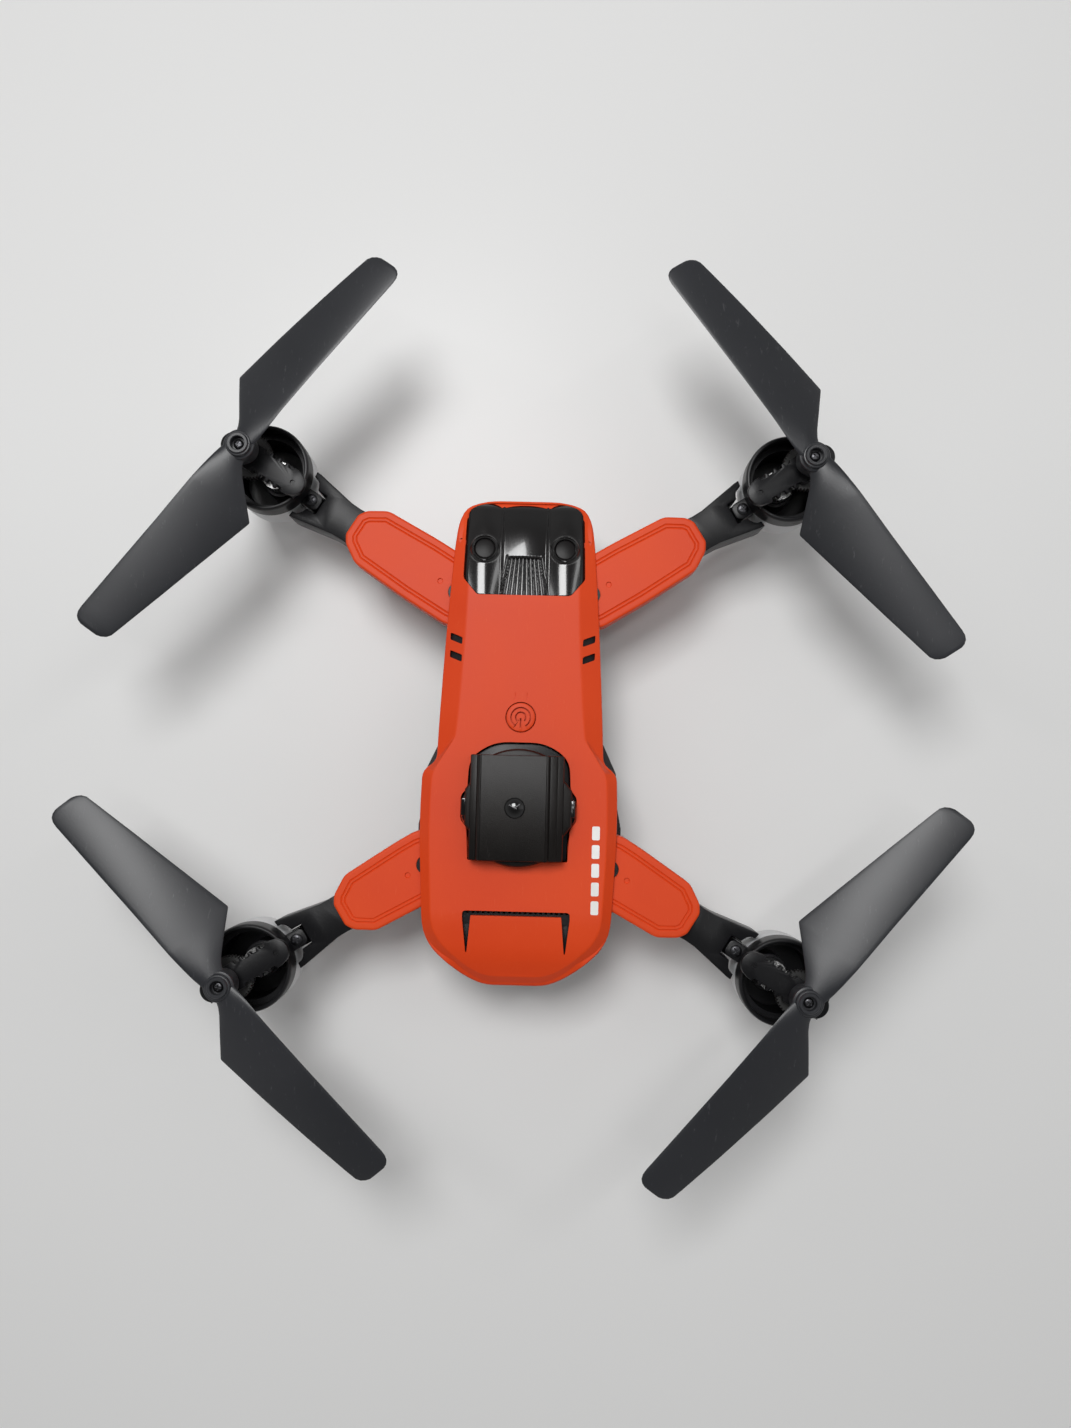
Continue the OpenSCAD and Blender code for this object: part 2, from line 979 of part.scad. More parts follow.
module motor_part() {
    color(c_steel)
        translate([pinion_u, 0, 0])
            difference() {
                translate([0, 0, pod_floor + 1.5])
                    cylinder(r = motor_r, h = 15.6);
                // room for the cup rotor round the fixed magnet
                difference() {
                    translate([0, 0, pod_floor + 2.5])
                        cylinder(r = motor_r - 0.5, h = 13.6);
                    cylinder(r = 2.2, h = pod_floor + 11.6);
                }
                translate([0, 0, pod_floor + 3])
                    cylinder(r = 0.56, h = 20);
            }
}

module lamp_part() {
    color([0.55, 0.57, 0.6, 0.7])
        difference() {
            translate([pod_offset, 0, 0])
                rotate_extrude($fn = 96)
                    polygon([
                        [0, lens_z],
                        [8.6, lens_z + 0.4],
                        [10.9, lens_z + 1.6],
                        [12, lens_z + 3.6],
                        [12.4, lens_z + 6],
                        [12.4, rim_z],
                        [11.15, rim_z],
                        [11.15, lens_z + 4.4],
                        [9.9, lens_z + 2.3],
                        [8.2, lens_z + 1.4],
                        [0, lens_z + 1]]);
            // notch for the lug
            translate([14, -2.7, arm_z + 3.9])
                cube([6, 5.4, 8]);
        }
}

module cross_screw(r, z, head, length) {
    difference() {
        union() {
            translate([0, 0, z])
                cylinder(r = head, h = 0.9);
            translate([0, 0, z - length])
                cylinder(r = r, h = length + 0.2);
        }
        translate([-head * 0.65, -head * 0.13, z + 0.5])
            cube([head * 1.3, head * 0.26, 1]);
        translate([-head * 0.13, -head * 0.65, z + 0.5])
            cube([head * 0.26, head * 1.3, 1]);
    }
}

module fork_screw_part() {
    color(c_dark)
        translate([fork_screw_u, 0, 0])
            cross_screw(0.8, arm_z + 10, 1.7, 8.8);
}

// Involute tooth outline
function inv_deg(rb, r) = r <= rb ? 0 : sqrt(pow(r / rb, 2) - 1) * 180 / PI - acos(rb / r);
function tooth_half(z, m, r) =
    90 / z - tooth_play * 360 / (PI * m * z)
    + inv_deg(m * z / 2 * cos(28), m * z / 2)
    - inv_deg(m * z / 2 * cos(28), r);

module gear_outline(z, m) {
    rp = m * z / 2;
    radii = [rp - 1.08 * m, rp - 0.35 * m, rp + 0.3 * m, rp + 0.8 * m];
    polygon([
        for (i = [0:z - 1])
            for (k = [0:7])
                let (
                    r = radii[k < 4 ? k : 7 - k],
                    a = i * 360 / z + (k < 4 ? -1 : 1) * tooth_half(z, m, r))
                [r * cos(a), r * sin(a)]]);
}

module pinion_part() {
    color([0.75, 0.6, 0.3])
        translate([pinion_u, 0, 0]) {
            translate([0, 0, 37])
                rotate(180 + 180 / pinion_teeth)
                    linear_extrude(3.6)
                        gear_outline(pinion_teeth, gear_m);
            translate([0, 0, 24])
                cylinder(r = 0.5, h = 16.4);
            // cup rotor inside the can
            difference() {
                translate([0, 0, 22.4])
                    cylinder(r = 3.45, h = 10.2);
                translate([0, 0, 22])
                    cylinder(r = 2.5, h = 9.4);
            }
        }
}

module gear_shaft_part() {
    color([0.09, 0.09, 0.09])
        difference() {
            union() {
                translate([0, 0, 38.2])
                    linear_extrude(2.4)
                        gear_outline(gear_teeth, gear_m);
                translate([0, 0, 21.2])
                    cylinder(r = shaft_r, h = 29.8);
            }
            translate([0, 0, 47.8])
                cylinder(r = 0.42, h = 5);
        }
}

// One blade along +X. Each station is [distance out, leading edge, trailing edge, pitch, thickness]
function blade_stations() = [
    [2.4, -3.4, 3.4, root_pitch * 0.5, 1.6],
    [7, -3.8, 6.2, root_pitch * 0.75, 1.5],
    [12.6, -4.1, 11.7, root_pitch * 0.95, 1.3],
    [15.9, -4.2, root_chord - 4.2, root_pitch, 1.2],
    [30, -4.7, root_chord * 0.62 + 0.1, root_pitch * 0.68 + tip_pitch * 0.32, 1.1],
    [47, -5.5, root_chord * 0.43 + 0.1, root_pitch * 0.32 + tip_pitch * 0.68, 0.95],
    [prop_d / 2 - 3.6, -6.2, tip_chord - 6.4, tip_pitch, 0.8],
    [prop_d / 2 - 1.2, -5.6, tip_chord - 7.4, tip_pitch, 0.7],
    [prop_d / 2, -3.8, tip_chord - 9.6, tip_pitch, 0.6]];

function station_points(st) =
    let (
        mid = (st[1] + st[2]) / 2,
        a = st[3],
        half = st[4] / 2,
        w = (st[2] - st[1]) / 2)
    [for (q = [
            [-w, 0],
            [-w * 0.5, half * 1.5],
            [w * 0.3, half * 1.5],
            [w, 0.1],
            [w * 0.3, -half * 0.5],
            [-w * 0.5, -half * 0.7]])
        [
            st[0],
            mid + q[0] + q[1] * sin(a),
            q[1] * cos(a) - (mid + q[0] - twist_line) * tan(a)]];

module blade() {
    st = blade_stations();
    n = len(st);
    polyhedron(
        points = [for (s = st) each station_points(s)],
        faces = concat(
            [[5, 4, 3, 2, 1, 0]],
            [for (i = [0:n - 2]) for (k = [0:5]) each [
                [i * 6 + 6 + (k + 1) % 6, i * 6 + 6 + k, i * 6 + k],
                [i * 6 + (k + 1) % 6, i * 6 + 6 + (k + 1) % 6, i * 6 + k]]],
            [[for (k = [0:5]) (n - 1) * 6 + k]]),
        convexity = 4);
}

module propeller_part() {
    color([0.2, 0.21, 0.23])
        difference() {
            union() {
                for (a = [0, 180])
                    rotate(a)
                        translate([0, 0, blade_z])
                            blade();
                rotate_extrude($fn = 64)
                    polygon([
                        [0, 46.2],
                        [3.7, 46.2],
                        [4.3, 47],
                        [4.3, hub_top - 1.6],
                        [3.6, hub_top - 1],
                        [3.2, hub_top - 0.3],
                        [2.7, hub_top],
                        [0, hub_top]]);
            }
            translate([0, 0, 40])
                cylinder(r = shaft_r, h = 11);
            translate([0, 0, 50])
                cylinder(r = 0.5, h = 5);
            translate([0, 0, hub_top - 2])
                cylinder(r = 1.9, h = 5);
        }
}

module hub_screw_part() {
    color(c_dark)
        cross_screw(0.4, hub_top - 2, 1.4, 3.4);
}

// Blades lie at a direction in the plan, so the arm's own turn is taken off again
module prop_turn(sx, sy, direction) {
    rotate(direction - atan2(-sy * sin(arm_sweep), -sx * cos(arm_sweep)))
        children();
}

// Clockwise propellers trail on the left of each blade, the others are their mirror image
module clockwise() children();
module anticlockwise() mirror([0, 1, 0]) children();

// ---- front left ----
module front_left_arm() at_corner(-1, 1) arm_part(front_reach);
module front_left_cover() at_corner(-1, 1) cover_part(front_reach);
module front_left_pod() at_corner(-1, 1) pod_part();
module front_left_bridge() at_corner(-1, 1) bridge_part();
module front_left_motor() at_corner(-1, 1) motor_part();
module front_left_lamp() at_corner(-1, 1) lamp_part();
module front_left_fork_screw() at_corner(-1, 1) fork_screw_part();
module front_left_pinion() at_corner(-1, 1) pinion_part();
module front_left_gear_shaft() at_corner(-1, 1) gear_shaft_part();
module front_left_propeller() at_corner(-1, 1) prop_turn(-1, 1, rest_fl) clockwise() propeller_part();
module front_left_hub_screw() at_corner(-1, 1) hub_screw_part();

// ---- front right ----
module front_right_arm() at_corner(1, 1) arm_part(front_reach);
module front_right_cover() at_corner(1, 1) cover_part(front_reach);
module front_right_pod() at_corner(1, 1) pod_part();
module front_right_bridge() at_corner(1, 1) bridge_part();
module front_right_motor() at_corner(1, 1) motor_part();
module front_right_lamp() at_corner(1, 1) lamp_part();
module front_right_fork_screw() at_corner(1, 1) fork_screw_part();
module front_right_pinion() at_corner(1, 1) pinion_part();
module front_right_gear_shaft() at_corner(1, 1) gear_shaft_part();
module front_right_propeller() at_corner(1, 1) prop_turn(1, 1, rest_fr) anticlockwise() propeller_part();
module front_right_hub_screw() at_corner(1, 1) hub_screw_part();

// ---- rear left ----
module rear_left_arm() at_corner(-1, -1) arm_part(rear_reach);
module rear_left_cover() at_corner(-1, -1) cover_part(rear_reach);
module rear_left_pod() at_corner(-1, -1) pod_part();
module rear_left_bridge() at_corner(-1, -1) bridge_part();
module rear_left_motor() at_corner(-1, -1) motor_part();
module rear_left_lamp() at_corner(-1, -1) lamp_part();
module rear_left_fork_screw() at_corner(-1, -1) fork_screw_part();
module rear_left_pinion() at_corner(-1, -1) pinion_part();
module rear_left_gear_shaft() at_corner(-1, -1) gear_shaft_part();
module rear_left_propeller() at_corner(-1, -1) prop_turn(-1, -1, rest_rl) anticlockwise() propeller_part();
module rear_left_hub_screw() at_corner(-1, -1) hub_screw_part();

// ---- rear right ----
module rear_right_arm() at_corner(1, -1) arm_part(rear_reach);
module rear_right_cover() at_corner(1, -1) cover_part(rear_reach);
module rear_right_pod() at_corner(1, -1) pod_part();
module rear_right_bridge() at_corner(1, -1) bridge_part();
module rear_right_motor() at_corner(1, -1) motor_part();
module rear_right_lamp() at_corner(1, -1) lamp_part();
module rear_right_fork_screw() at_corner(1, -1) fork_screw_part();
module rear_right_pinion() at_corner(1, -1) pinion_part();
module rear_right_gear_shaft() at_corner(1, -1) gear_shaft_part();
module rear_right_propeller() at_corner(1, -1) prop_turn(1, -1, rest_rr) clockwise() propeller_part();
module rear_right_hub_screw() at_corner(1, -1) hub_screw_part();

top_shell();
bottom_shell();
nose_panel();
nose_lamps();
power_button();
vent_screens();
turret_housing();
turret_windows();
battery_pack();
main_board();
camera_pod();
camera_lens();
flow_camera();
case_screws();
front_left_arm();
front_left_cover();
front_left_pod();
front_left_bridge();
front_left_motor();
front_left_lamp();
front_left_fork_screw();
front_left_pinion();
front_left_gear_shaft();
front_left_propeller();
front_left_hub_screw();
front_right_arm();
front_right_cover();
front_right_pod();
front_right_bridge();
front_right_motor();
front_right_lamp();
front_right_fork_screw();
front_right_pinion();
front_right_gear_shaft();
front_right_propeller();
front_right_hub_screw();
rear_left_arm();
rear_left_cover();
rear_left_pod();
rear_left_bridge();
rear_left_motor();
rear_left_lamp();
rear_left_fork_screw();
rear_left_pinion();
rear_left_gear_shaft();
rear_left_propeller();
rear_left_hub_screw();
rear_right_arm();
rear_right_cover();
rear_right_pod();
rear_right_bridge();
rear_right_motor();
rear_right_lamp();
rear_right_fork_screw();
rear_right_pinion();
rear_right_gear_shaft();
rear_right_propeller();
rear_right_hub_screw();
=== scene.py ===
import json
import math

import bmesh
import bpy
from mathutils import Matrix, Vector


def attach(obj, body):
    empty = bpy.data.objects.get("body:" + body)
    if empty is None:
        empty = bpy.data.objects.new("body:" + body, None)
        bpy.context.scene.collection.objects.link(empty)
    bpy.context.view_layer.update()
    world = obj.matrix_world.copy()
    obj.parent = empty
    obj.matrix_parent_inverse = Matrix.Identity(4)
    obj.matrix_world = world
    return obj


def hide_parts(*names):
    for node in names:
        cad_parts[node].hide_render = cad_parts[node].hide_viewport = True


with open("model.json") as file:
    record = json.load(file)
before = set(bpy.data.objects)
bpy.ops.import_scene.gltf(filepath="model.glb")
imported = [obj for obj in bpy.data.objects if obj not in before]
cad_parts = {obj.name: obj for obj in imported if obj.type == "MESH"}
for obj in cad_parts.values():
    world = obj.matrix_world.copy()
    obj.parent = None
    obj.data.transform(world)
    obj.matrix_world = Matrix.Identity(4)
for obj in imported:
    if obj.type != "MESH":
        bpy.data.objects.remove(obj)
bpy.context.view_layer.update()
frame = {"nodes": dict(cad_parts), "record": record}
mm = 0.001
scene = bpy.context.scene
corners = {"front_left": (-1, 1), "front_right": (1, 1), "rear_left": (-1, -1), "rear_right": (1, -1)}
# plan of the arms in millimetres, as in the CAD
plan = {"hubX": 80.0, "hubY": 74.7, "sweep": 31.5, "frontReach": 70.9, "rearReach": 62.7, "podOffset": 4.2}
print("frame loaded:", len(frame["nodes"]), "nodes")


# shader maths
class Sock:
    def __init__(self, tree, out):
        self.tree, self.out = tree, out

    # any node: its type, its settings, what goes into its sockets, which output to keep
    def node(self, kind, settings=None, inputs=None, output=0):
        n = self.tree.nodes.new(kind)
        for key, value in (settings or {}).items():
            if key == "stops":
                ramp = n.color_ramp
                while len(ramp.elements) < len(value):
                    ramp.elements.new(0.5)
                for element, (place, shade) in zip(ramp.elements, value):
                    element.position = place
                    element.color = (*shade, 1) if isinstance(shade, tuple) else (shade, shade, shade, 1)
            else:
                setattr(n, key, value)
        for key, value in (inputs or {}).items():
            if isinstance(value, Sock):
                self.tree.links.new(value.out, n.inputs[key])
            else:
                n.inputs[key].default_value = value
        return Sock(self.tree, n.outputs[output])

    def math(self, op, a, b=0.0, clamp=False):
        return self.node("ShaderNodeMath", {"operation": op, "use_clamp": clamp}, {0: a, 1: b})

    def __add__(self, other):
        return self.math("ADD", self, other)

    def __radd__(self, other):
        return self.math("ADD", other, self)

    def __sub__(self, other):
        return self.math("SUBTRACT", self, other)

    def __rsub__(self, other):
        return self.math("SUBTRACT", other, self)

    def __mul__(self, other):
        return self.math("MULTIPLY", self, other)

    def __rmul__(self, other):
        return self.math("MULTIPLY", other, self)

    def clamped(self):
        return self.math("ADD", self, 0.0, True)

    # self is the factor between two colours
    def mix(self, a, b, blend="MIX"):
        return self.node("ShaderNodeMix", {"data_type": "RGBA", "blend_type": blend, "clamp_factor": True},
                         {"Factor": self, "A": a, "B": b}, 2)

    def ramp(self, *stops):
        return self.node("ShaderNodeValToRGB", {"stops": stops}, {"Fac": self})

    def noise(self, scale, detail=3.0, rough=0.5):
        return self.node("ShaderNodeTexNoise", {},
                         {"Vector": self, "Scale": scale, "Detail": detail, "Roughness": rough})

    def stretched(self, scale, turn=(0, 0, 0)):
        return self.node("ShaderNodeMapping", {}, {"Vector": self, "Scale": scale, "Rotation": turn})


def rgb(r, g, b):
    return (r, g, b, 1)


def newMaterial(name, **fixed):
    mat = bpy.data.materials.new(name)
    mat.use_nodes = True
    tree = mat.node_tree
    shader = tree.nodes["Principled BSDF"]
    for key, value in fixed.items():
        shader.inputs[key.replace("_", " ")].default_value = value
    place = Sock(tree, tree.nodes.new("ShaderNodeTexCoord").outputs["Object"])
    return mat, shader, place


def wire(shader, **made):
    for key, sock in made.items():
        sock.tree.links.new(sock.out, shader.inputs[key.replace("_", " ")])


def bumped(height, strength, distance):
    return height.node("ShaderNodeBump", {}, {"Height": height, "Strength": strength, "Distance": distance})


# fine scuffs, long one way, shared by the plastics
scuffLines = {"across": 300, "along": 22, "turn": (0.2, 0.1, 0.7), "scale": 12, "from": 0.62, "to": 0.7}


# moulded plastics share one recipe: mottled colour, uneven gloss, fine grain, scuffs
def mouldedPlastic(name, look):
    mat, shader, place = newMaterial(name, Specular_IOR_Level=look.get("specular", 0.5),
                                     Coat_Roughness=look.get("coatRoughness", 0.1),
                                     Coat_Weight=look.get("coat", 0.0))
    cloud = place.noise(look["cloudScale"], 4)
    grain = place.noise(look["grainScale"], 2, 0.6)
    across = look.get("streak", scuffLines["across"])
    streaks = place.stretched((across, scuffLines["along"], scuffLines["along"]), scuffLines["turn"])
    shown = streaks.noise(scuffLines["scale"], 5, 0.7).ramp((scuffLines["from"], 0.0),
                                                            (scuffLines["to"], 1.0))
    scuffs = shown * look["scuff"]
    base = cloud.ramp((0.3, 0.0), (0.7, 1.0)).mix(rgb(*look["dark"]), rgb(*look["light"]))
    worn = (scuffs * 0.6).clamped().mix(base, rgb(*look["worn"]))
    rough = cloud * look["roughSpan"] + (look["rough"] - look["roughSpan"] * 0.5) + scuffs * 0.12
    height = grain - scuffs * 0.5
    wire(shader, Base_Color=worn, Roughness=rough.clamped(), Normal=bumped(height, look["bump"], 0.0002))
    return mat


orangeLook = {"dark": (0.66, 0.046, 0.003), "light": (0.72, 0.06, 0.005), "worn": (0.85, 0.24, 0.1),
              "cloudScale": 26, "grainScale": 2600, "scuff": 0.25, "rough": 0.52, "roughSpan": 0.12,
              "bump": 0.12,
              "specular": 0.32}
blackLook = {"dark": (0.006, 0.006, 0.007), "light": (0.012, 0.012, 0.013), "worn": (0.08, 0.08, 0.08),
             "cloudScale": 40, "grainScale": 1800, "scuff": 0.35, "rough": 0.34, "roughSpan": 0.16,
             "bump": 0.1,
             "specular": 0.22}
glossLook = {"dark": (0.004, 0.004, 0.004), "light": (0.007, 0.006, 0.006), "worn": (0.05, 0.05, 0.05),
             "cloudScale": 30, "grainScale": 400, "scuff": 0.12, "rough": 0.16, "roughSpan": 0.08,
             "bump": 0.01,
             "coat": 0.5, "coatRoughness": 0.06}
turretLook = {"dark": (0.005, 0.004, 0.0035), "light": (0.009, 0.007, 0.006), "worn": (0.1, 0.09, 0.085),
              "cloudScale": 50, "grainScale": 3200, "scuff": 0.3, "rough": 0.38, "roughSpan": 0.12,
              "bump": 0.2,
              "specular": 0.25}
bladeLook = {"dark": (0.014, 0.015, 0.018), "light": (0.022, 0.023, 0.027), "worn": (0.2, 0.2, 0.21),
             "cloudScale": 18, "grainScale": 1500, "scuff": 0.3, "rough": 0.38, "roughSpan": 0.16,
             "bump": 0.06,
             "streak": 90}
smokedLook = {"dark": (0.006, 0.005, 0.005), "light": (0.011, 0.010, 0.010), "worn": (0.05, 0.05, 0.05),
              "cloudScale": 60, "grainScale": 900, "scuff": 0.15, "rough": 0.3, "roughSpan": 0.08,
              "bump": 0.02,
              "specular": 0.12}
nylonLook = {"dark": (0.02, 0.02, 0.02), "light": (0.035, 0.035, 0.034), "worn": (0.12, 0.12, 0.12),
             "cloudScale": 120, "grainScale": 2000, "scuff": 0.3, "rough": 0.42, "roughSpan": 0.12,
             "bump": 0.08}
printLook = {"dark": (0.78, 0.77, 0.74), "light": (0.9, 0.89, 0.87), "worn": (0.8, 0.5, 0.4),
             "cloudScale": 200, "grainScale": 4000, "scuff": 0.25, "rough": 0.45, "roughSpan": 0.1,
             "bump": 0.05}
scene.view_settings.view_transform = "Standard"
orange = mouldedPlastic("orangeShell", orangeLook)
black = mouldedPlastic("blackSatin", blackLook)
gloss = mouldedPlastic("blackGloss", glossLook)
darkGrey = mouldedPlastic("headGrey", turretLook)
bladeGrey = mouldedPlastic("bladeGrey", bladeLook)
nylon = mouldedPlastic("naturalNylon", nylonLook)
whitePrint = mouldedPlastic("whitePrint", printLook)


def metal(name, look):
    mat, shader, place = newMaterial(name, Metallic=1.0)
    brush = place.stretched((40, 900, 40)).noise(14, 4, 0.6)
    cloud = place.noise(160, 3)
    wire(shader, Base_Color=cloud.mix(rgb(*look["dark"]), rgb(*look["light"])),
         Roughness=(brush * 0.3 + look["rough"]).clamped(), Normal=bumped(brush, 0.12, 0.0001))
    return mat


steel = metal("zincSteel", {"dark": (0.5, 0.5, 0.5), "light": (0.68, 0.68, 0.67), "rough": 0.14})
smokedLens = mouldedPlastic("smokedLens", smokedLook)
darkSteel = metal("blackedSteel", {"dark": (0.045, 0.045, 0.05), "light": (0.09, 0.09, 0.095), "rough": 0.18})
brass = metal("pinionBrass", {"dark": (0.52, 0.36, 0.12), "light": (0.72, 0.54, 0.24), "rough": 0.18})


def frostedLens():
    look = {"dark": (0.62, 0.63, 0.64), "light": (0.78, 0.79, 0.8), "rough": 0.3, "through": 0.15,
            "ior": 1.46}
    mat, shader, place = newMaterial("frostedLens", Transmission_Weight=look["through"], IOR=look["ior"])
    cloud = place.noise(60, 4)
    fine = place.noise(900, 2)
    wire(shader, Base_Color=cloud.mix(rgb(*look["dark"]), rgb(*look["light"])),
         Roughness=(cloud * 0.2 + look["rough"]).clamped(), Normal=bumped(fine, 0.06, 0.0001))
    return mat


def circuitBoard():
    look = {"dark": (0.01, 0.09, 0.04), "light": (0.05, 0.22, 0.1), "cell": 220.0, "gap": 0.03, "rough": 0.3}
    mat, shader, place = newMaterial("circuitBoard", Coat_Weight=0.3)
    brick = {"Vector": place, "Scale": look["cell"], "Mortar Size": look["gap"]}
    cells = place.node("ShaderNodeTexBrick", {}, brick, 1)
    cloud = place.noise(70, 3)
    shade = (cells * 0.5 + cloud * 0.3).clamped()
    wire(shader, Base_Color=shade.mix(rgb(*look["dark"]), rgb(*look["light"])),
         Roughness=(cloud * 0.2 + look["rough"]).clamped(), Normal=bumped(cells, 0.2, 0.0001))
    return mat


lens = frostedLens()
board = circuitBoard()
slotMaterial = {"orange_plastic": orange, "black_plastic": black, "gloss_black": gloss,
                "grey_plastic": darkGrey,
                "propeller_plastic": bladeGrey, "lamp_lens": lens, "dark_steel": darkSteel, "steel": steel,
                "brass": brass, "nylon": nylon, "board": board}
for part in frame["record"]["subparts"]:
    shown = frame["nodes"][part["node"]]
    shown.data.materials.clear()
    shown.data.materials.append(slotMaterial[part["material_slot"]])
print("materials ready:", len(slotMaterial))


# mesh tools, all in millimetres until the mesh is made
def addMesh(name, verts, faces, material, body, slot, smooth=40, at=None):
    mesh = bpy.data.meshes.new(name)
    mesh.from_pydata([tuple(c * mm for c in v) for v in verts], [], faces)
    return addObject(name, mesh, material, body, smooth, at)


def addObject(name, mesh, material, body, smooth=40, at=None):
    if at is not None:
        mesh.transform(at)
    made = bmesh.new()
    made.from_mesh(mesh)
    bmesh.ops.remove_doubles(made, verts=made.verts, dist=0.000002)
    bmesh.ops.recalc_face_normals(made, faces=made.faces)
    made.to_mesh(mesh)
    made.free()
    mesh.materials.clear()
    mesh.materials.append(material)
    obj = bpy.data.objects.new(name, mesh)
    scene.collection.objects.link(obj)
    softEdges(obj, smooth)
    if body:
        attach(obj, body)
    return obj


def softEdges(obj, angle):
    obj.data.polygons.foreach_set("use_smooth", [True] * len(obj.data.polygons))
    obj.data.set_sharp_from_angle(angle=math.radians(angle))


def evenShading(obj):
    m = obj.modifiers.new("evenShading", "WEIGHTED_NORMAL")
    m.keep_sharp, m.weight = True, 90
    applyModifiers(obj)


def bevel(obj, width, angle=35, segments=2):
    b = obj.modifiers.new("edge", "BEVEL")
    b.width, b.segments, b.limit_method, b.angle_limit = width * mm, segments, "ANGLE", math.radians(angle)
    b.harden_normals = False
    return obj


# corners of a closed outline rounded off, the same count of points for any outline with the same corners
def rounded(points, radius, steps=4):
    out = []
    n = len(points)
    for i in range(n):
        p, before, after = (Vector(points[k % n]) for k in (i, i - 1, i + 1))
        r = radius[i] if isinstance(radius, (list, tuple)) else radius
        a, b = before - p, after - p
        a = a.normalized() * min(r, a.length * 0.45)
        b = b.normalized() * min(r, b.length * 0.45)
        for s in range(steps + 1):
            t = s / steps
            out.append(tuple(p + a * (1 - t) ** 2 + b * t ** 2))
    return out


def bothSides(side):
    return list(side) + [(-x, y) for x, y in reversed(side)]


# a closed outline moved inwards by d, corner by corner
def inset(points, d):
    n = len(points)
    area = sum(points[i - 1][0] * points[i][1] - points[i][0] * points[i - 1][1] for i in range(n))
    turn = 1 if area > 0 else -1
    out = []
    for i in range(n):
        p, before, after = (Vector(points[k % n]) for k in (i, i - 1, i + 1))
        a, b = (p - before).normalized(), (after - p).normalized()
        na, nb = Vector((-a.y, a.x)) * turn, Vector((-b.y, b.x)) * turn
        m = na + nb
        m = m / max(m.length_squared, 0.2) * 2
        out.append(tuple(p + m * d))
    return out


# closed loops of equal length joined into a skin; each loop is a list of (x, y, z)
def loft(loops, capFirst=True, capLast=True):
    n = len(loops[0])
    verts = [v for loop in loops for v in loop]
    faces = []
    for k in range(len(loops) - 1):
        for i in range(n):
            j = (i + 1) % n
            faces.append((k * n + i, k * n + j, (k + 1) * n + j, (k + 1) * n + i))
    if capFirst:
        faces.append(tuple(reversed(range(n))))
    if capLast:
        faces.append(tuple(range((len(loops) - 1) * n, len(loops) * n)))
    return verts, faces


def level(outline, z):
    return [(x, y, z(x, y) if callable(z) else z) for x, y in outline]


# upright slab with rounded top and bottom rims
def slab(outline, z0, z1, rim=0.3):
    r = rim
    low = inset(outline, r) if r else outline
    mid = inset(outline, r * 0.3) if r else outline
    return loft([level(low, z0), level(mid, z0 + r * 0.3), level(outline, z0 + r),
                 level(outline, z1 - r), level(mid, z1 - r * 0.3), level(low, z1)])


def circle(radius, n=48, at=(0, 0)):
    turns = [2 * math.pi * i / n for i in range(n)]
    return [(at[0] + radius * math.cos(a), at[1] + radius * math.sin(a)) for a in turns]


# a profile of (radius, z) turned about an upright axis
def turned(profile, n=64, at=(0, 0), closed=False):
    loops = [[(x, y, z) for x, y in circle(max(r, 0.001), n, at)] for r, z in profile]
    if closed:
        return loft(loops + [loops[0]], False, False)
    return loft(loops)


def moved(mesh, matrix):
    return [tuple(matrix @ Vector(v)) for v in mesh[0]], mesh[1]


def boxMesh(x0, x1, y0, y1, z0, z1):
    return loft([level([(x0, y0), (x1, y0), (x1, y1), (x0, y1)], z) for z in (z0, z1)])


# boolean cuts, applied straight away
def cut(obj, *tools):
    for tool in tools:
        mesh = bpy.data.meshes.new("tool")
        mesh.from_pydata([tuple(c * mm for c in v) for v in tool[0]], [], tool[1])
        made = bmesh.new()
        made.from_mesh(mesh)
        bmesh.ops.recalc_face_normals(made, faces=made.faces)
        made.to_mesh(mesh)
        made.free()
        cutter = bpy.data.objects.new("tool", mesh)
        scene.collection.objects.link(cutter)
        b = obj.modifiers.new("cut", "BOOLEAN")
        b.operation, b.object, b.solver = "DIFFERENCE", cutter, "EXACT"
        applyModifiers(obj)
        bpy.data.objects.remove(cutter)
        bpy.data.meshes.remove(mesh)
    return obj


def applyModifiers(obj):
    bpy.context.view_layer.update()
    done = bpy.data.meshes.new_from_object(obj.evaluated_get(bpy.context.evaluated_depsgraph_get()))
    obj.modifiers.clear()
    old, obj.data = obj.data, done
    bpy.data.meshes.remove(old)


# camera above the craft, turned a little off level: place in millimetres, tilt in degrees
view = {"place": (7.7, -12.5, 346.5), "tilt": (-2.75, -0.58, -1.39), "lens": 27.13, "sensor": 36,
        "nearest": 0.01}
cameraData = bpy.data.cameras.new("viewCamera")
cameraData.lens, cameraData.sensor_width, cameraData.clip_start = view["lens"], view["sensor"], view["nearest"]
camera = bpy.data.objects.new("viewCamera", cameraData)
scene.collection.objects.link(camera)
ax, ay, az = (math.radians(a) for a in view["tilt"])
turn = Matrix.Rotation(ax, 3, "X") @ Matrix.Rotation(ay, 3, "Y") @ Matrix.Rotation(az, 3, "Z")
camera.matrix_world = Matrix.Translation(Vector(view["place"]) * mm) @ turn.transposed().to_4x4()
scene.camera = camera

# floor and light
studio = {"floorSize": 6.0, "floorDark": (0.74, 0.74, 0.735), "floorLight": (0.8, 0.8, 0.795),
          "floorZ": -0.05,
          "floorRough": 0.28, "zenith": 0.06, "horizon": 0.36,
          "lights": {"windowLight": {"where": (-0.12, 0.3, 0.85), "size": (0.32, 0.34), "power": 4.6},
                     "stripLight": {"where": (-0.3, 0.15, 0.95), "size": (0.07, 1.3), "power": 1.3},
                     "stripLightB": {"where": (0.34, 0.25, 0.95), "size": (0.07, 1.0), "power": 1.0},
                     "fillLight": {"where": (0.8, 0.1, 0.7), "size": (0.5, 0.9), "power": 0.5}}}


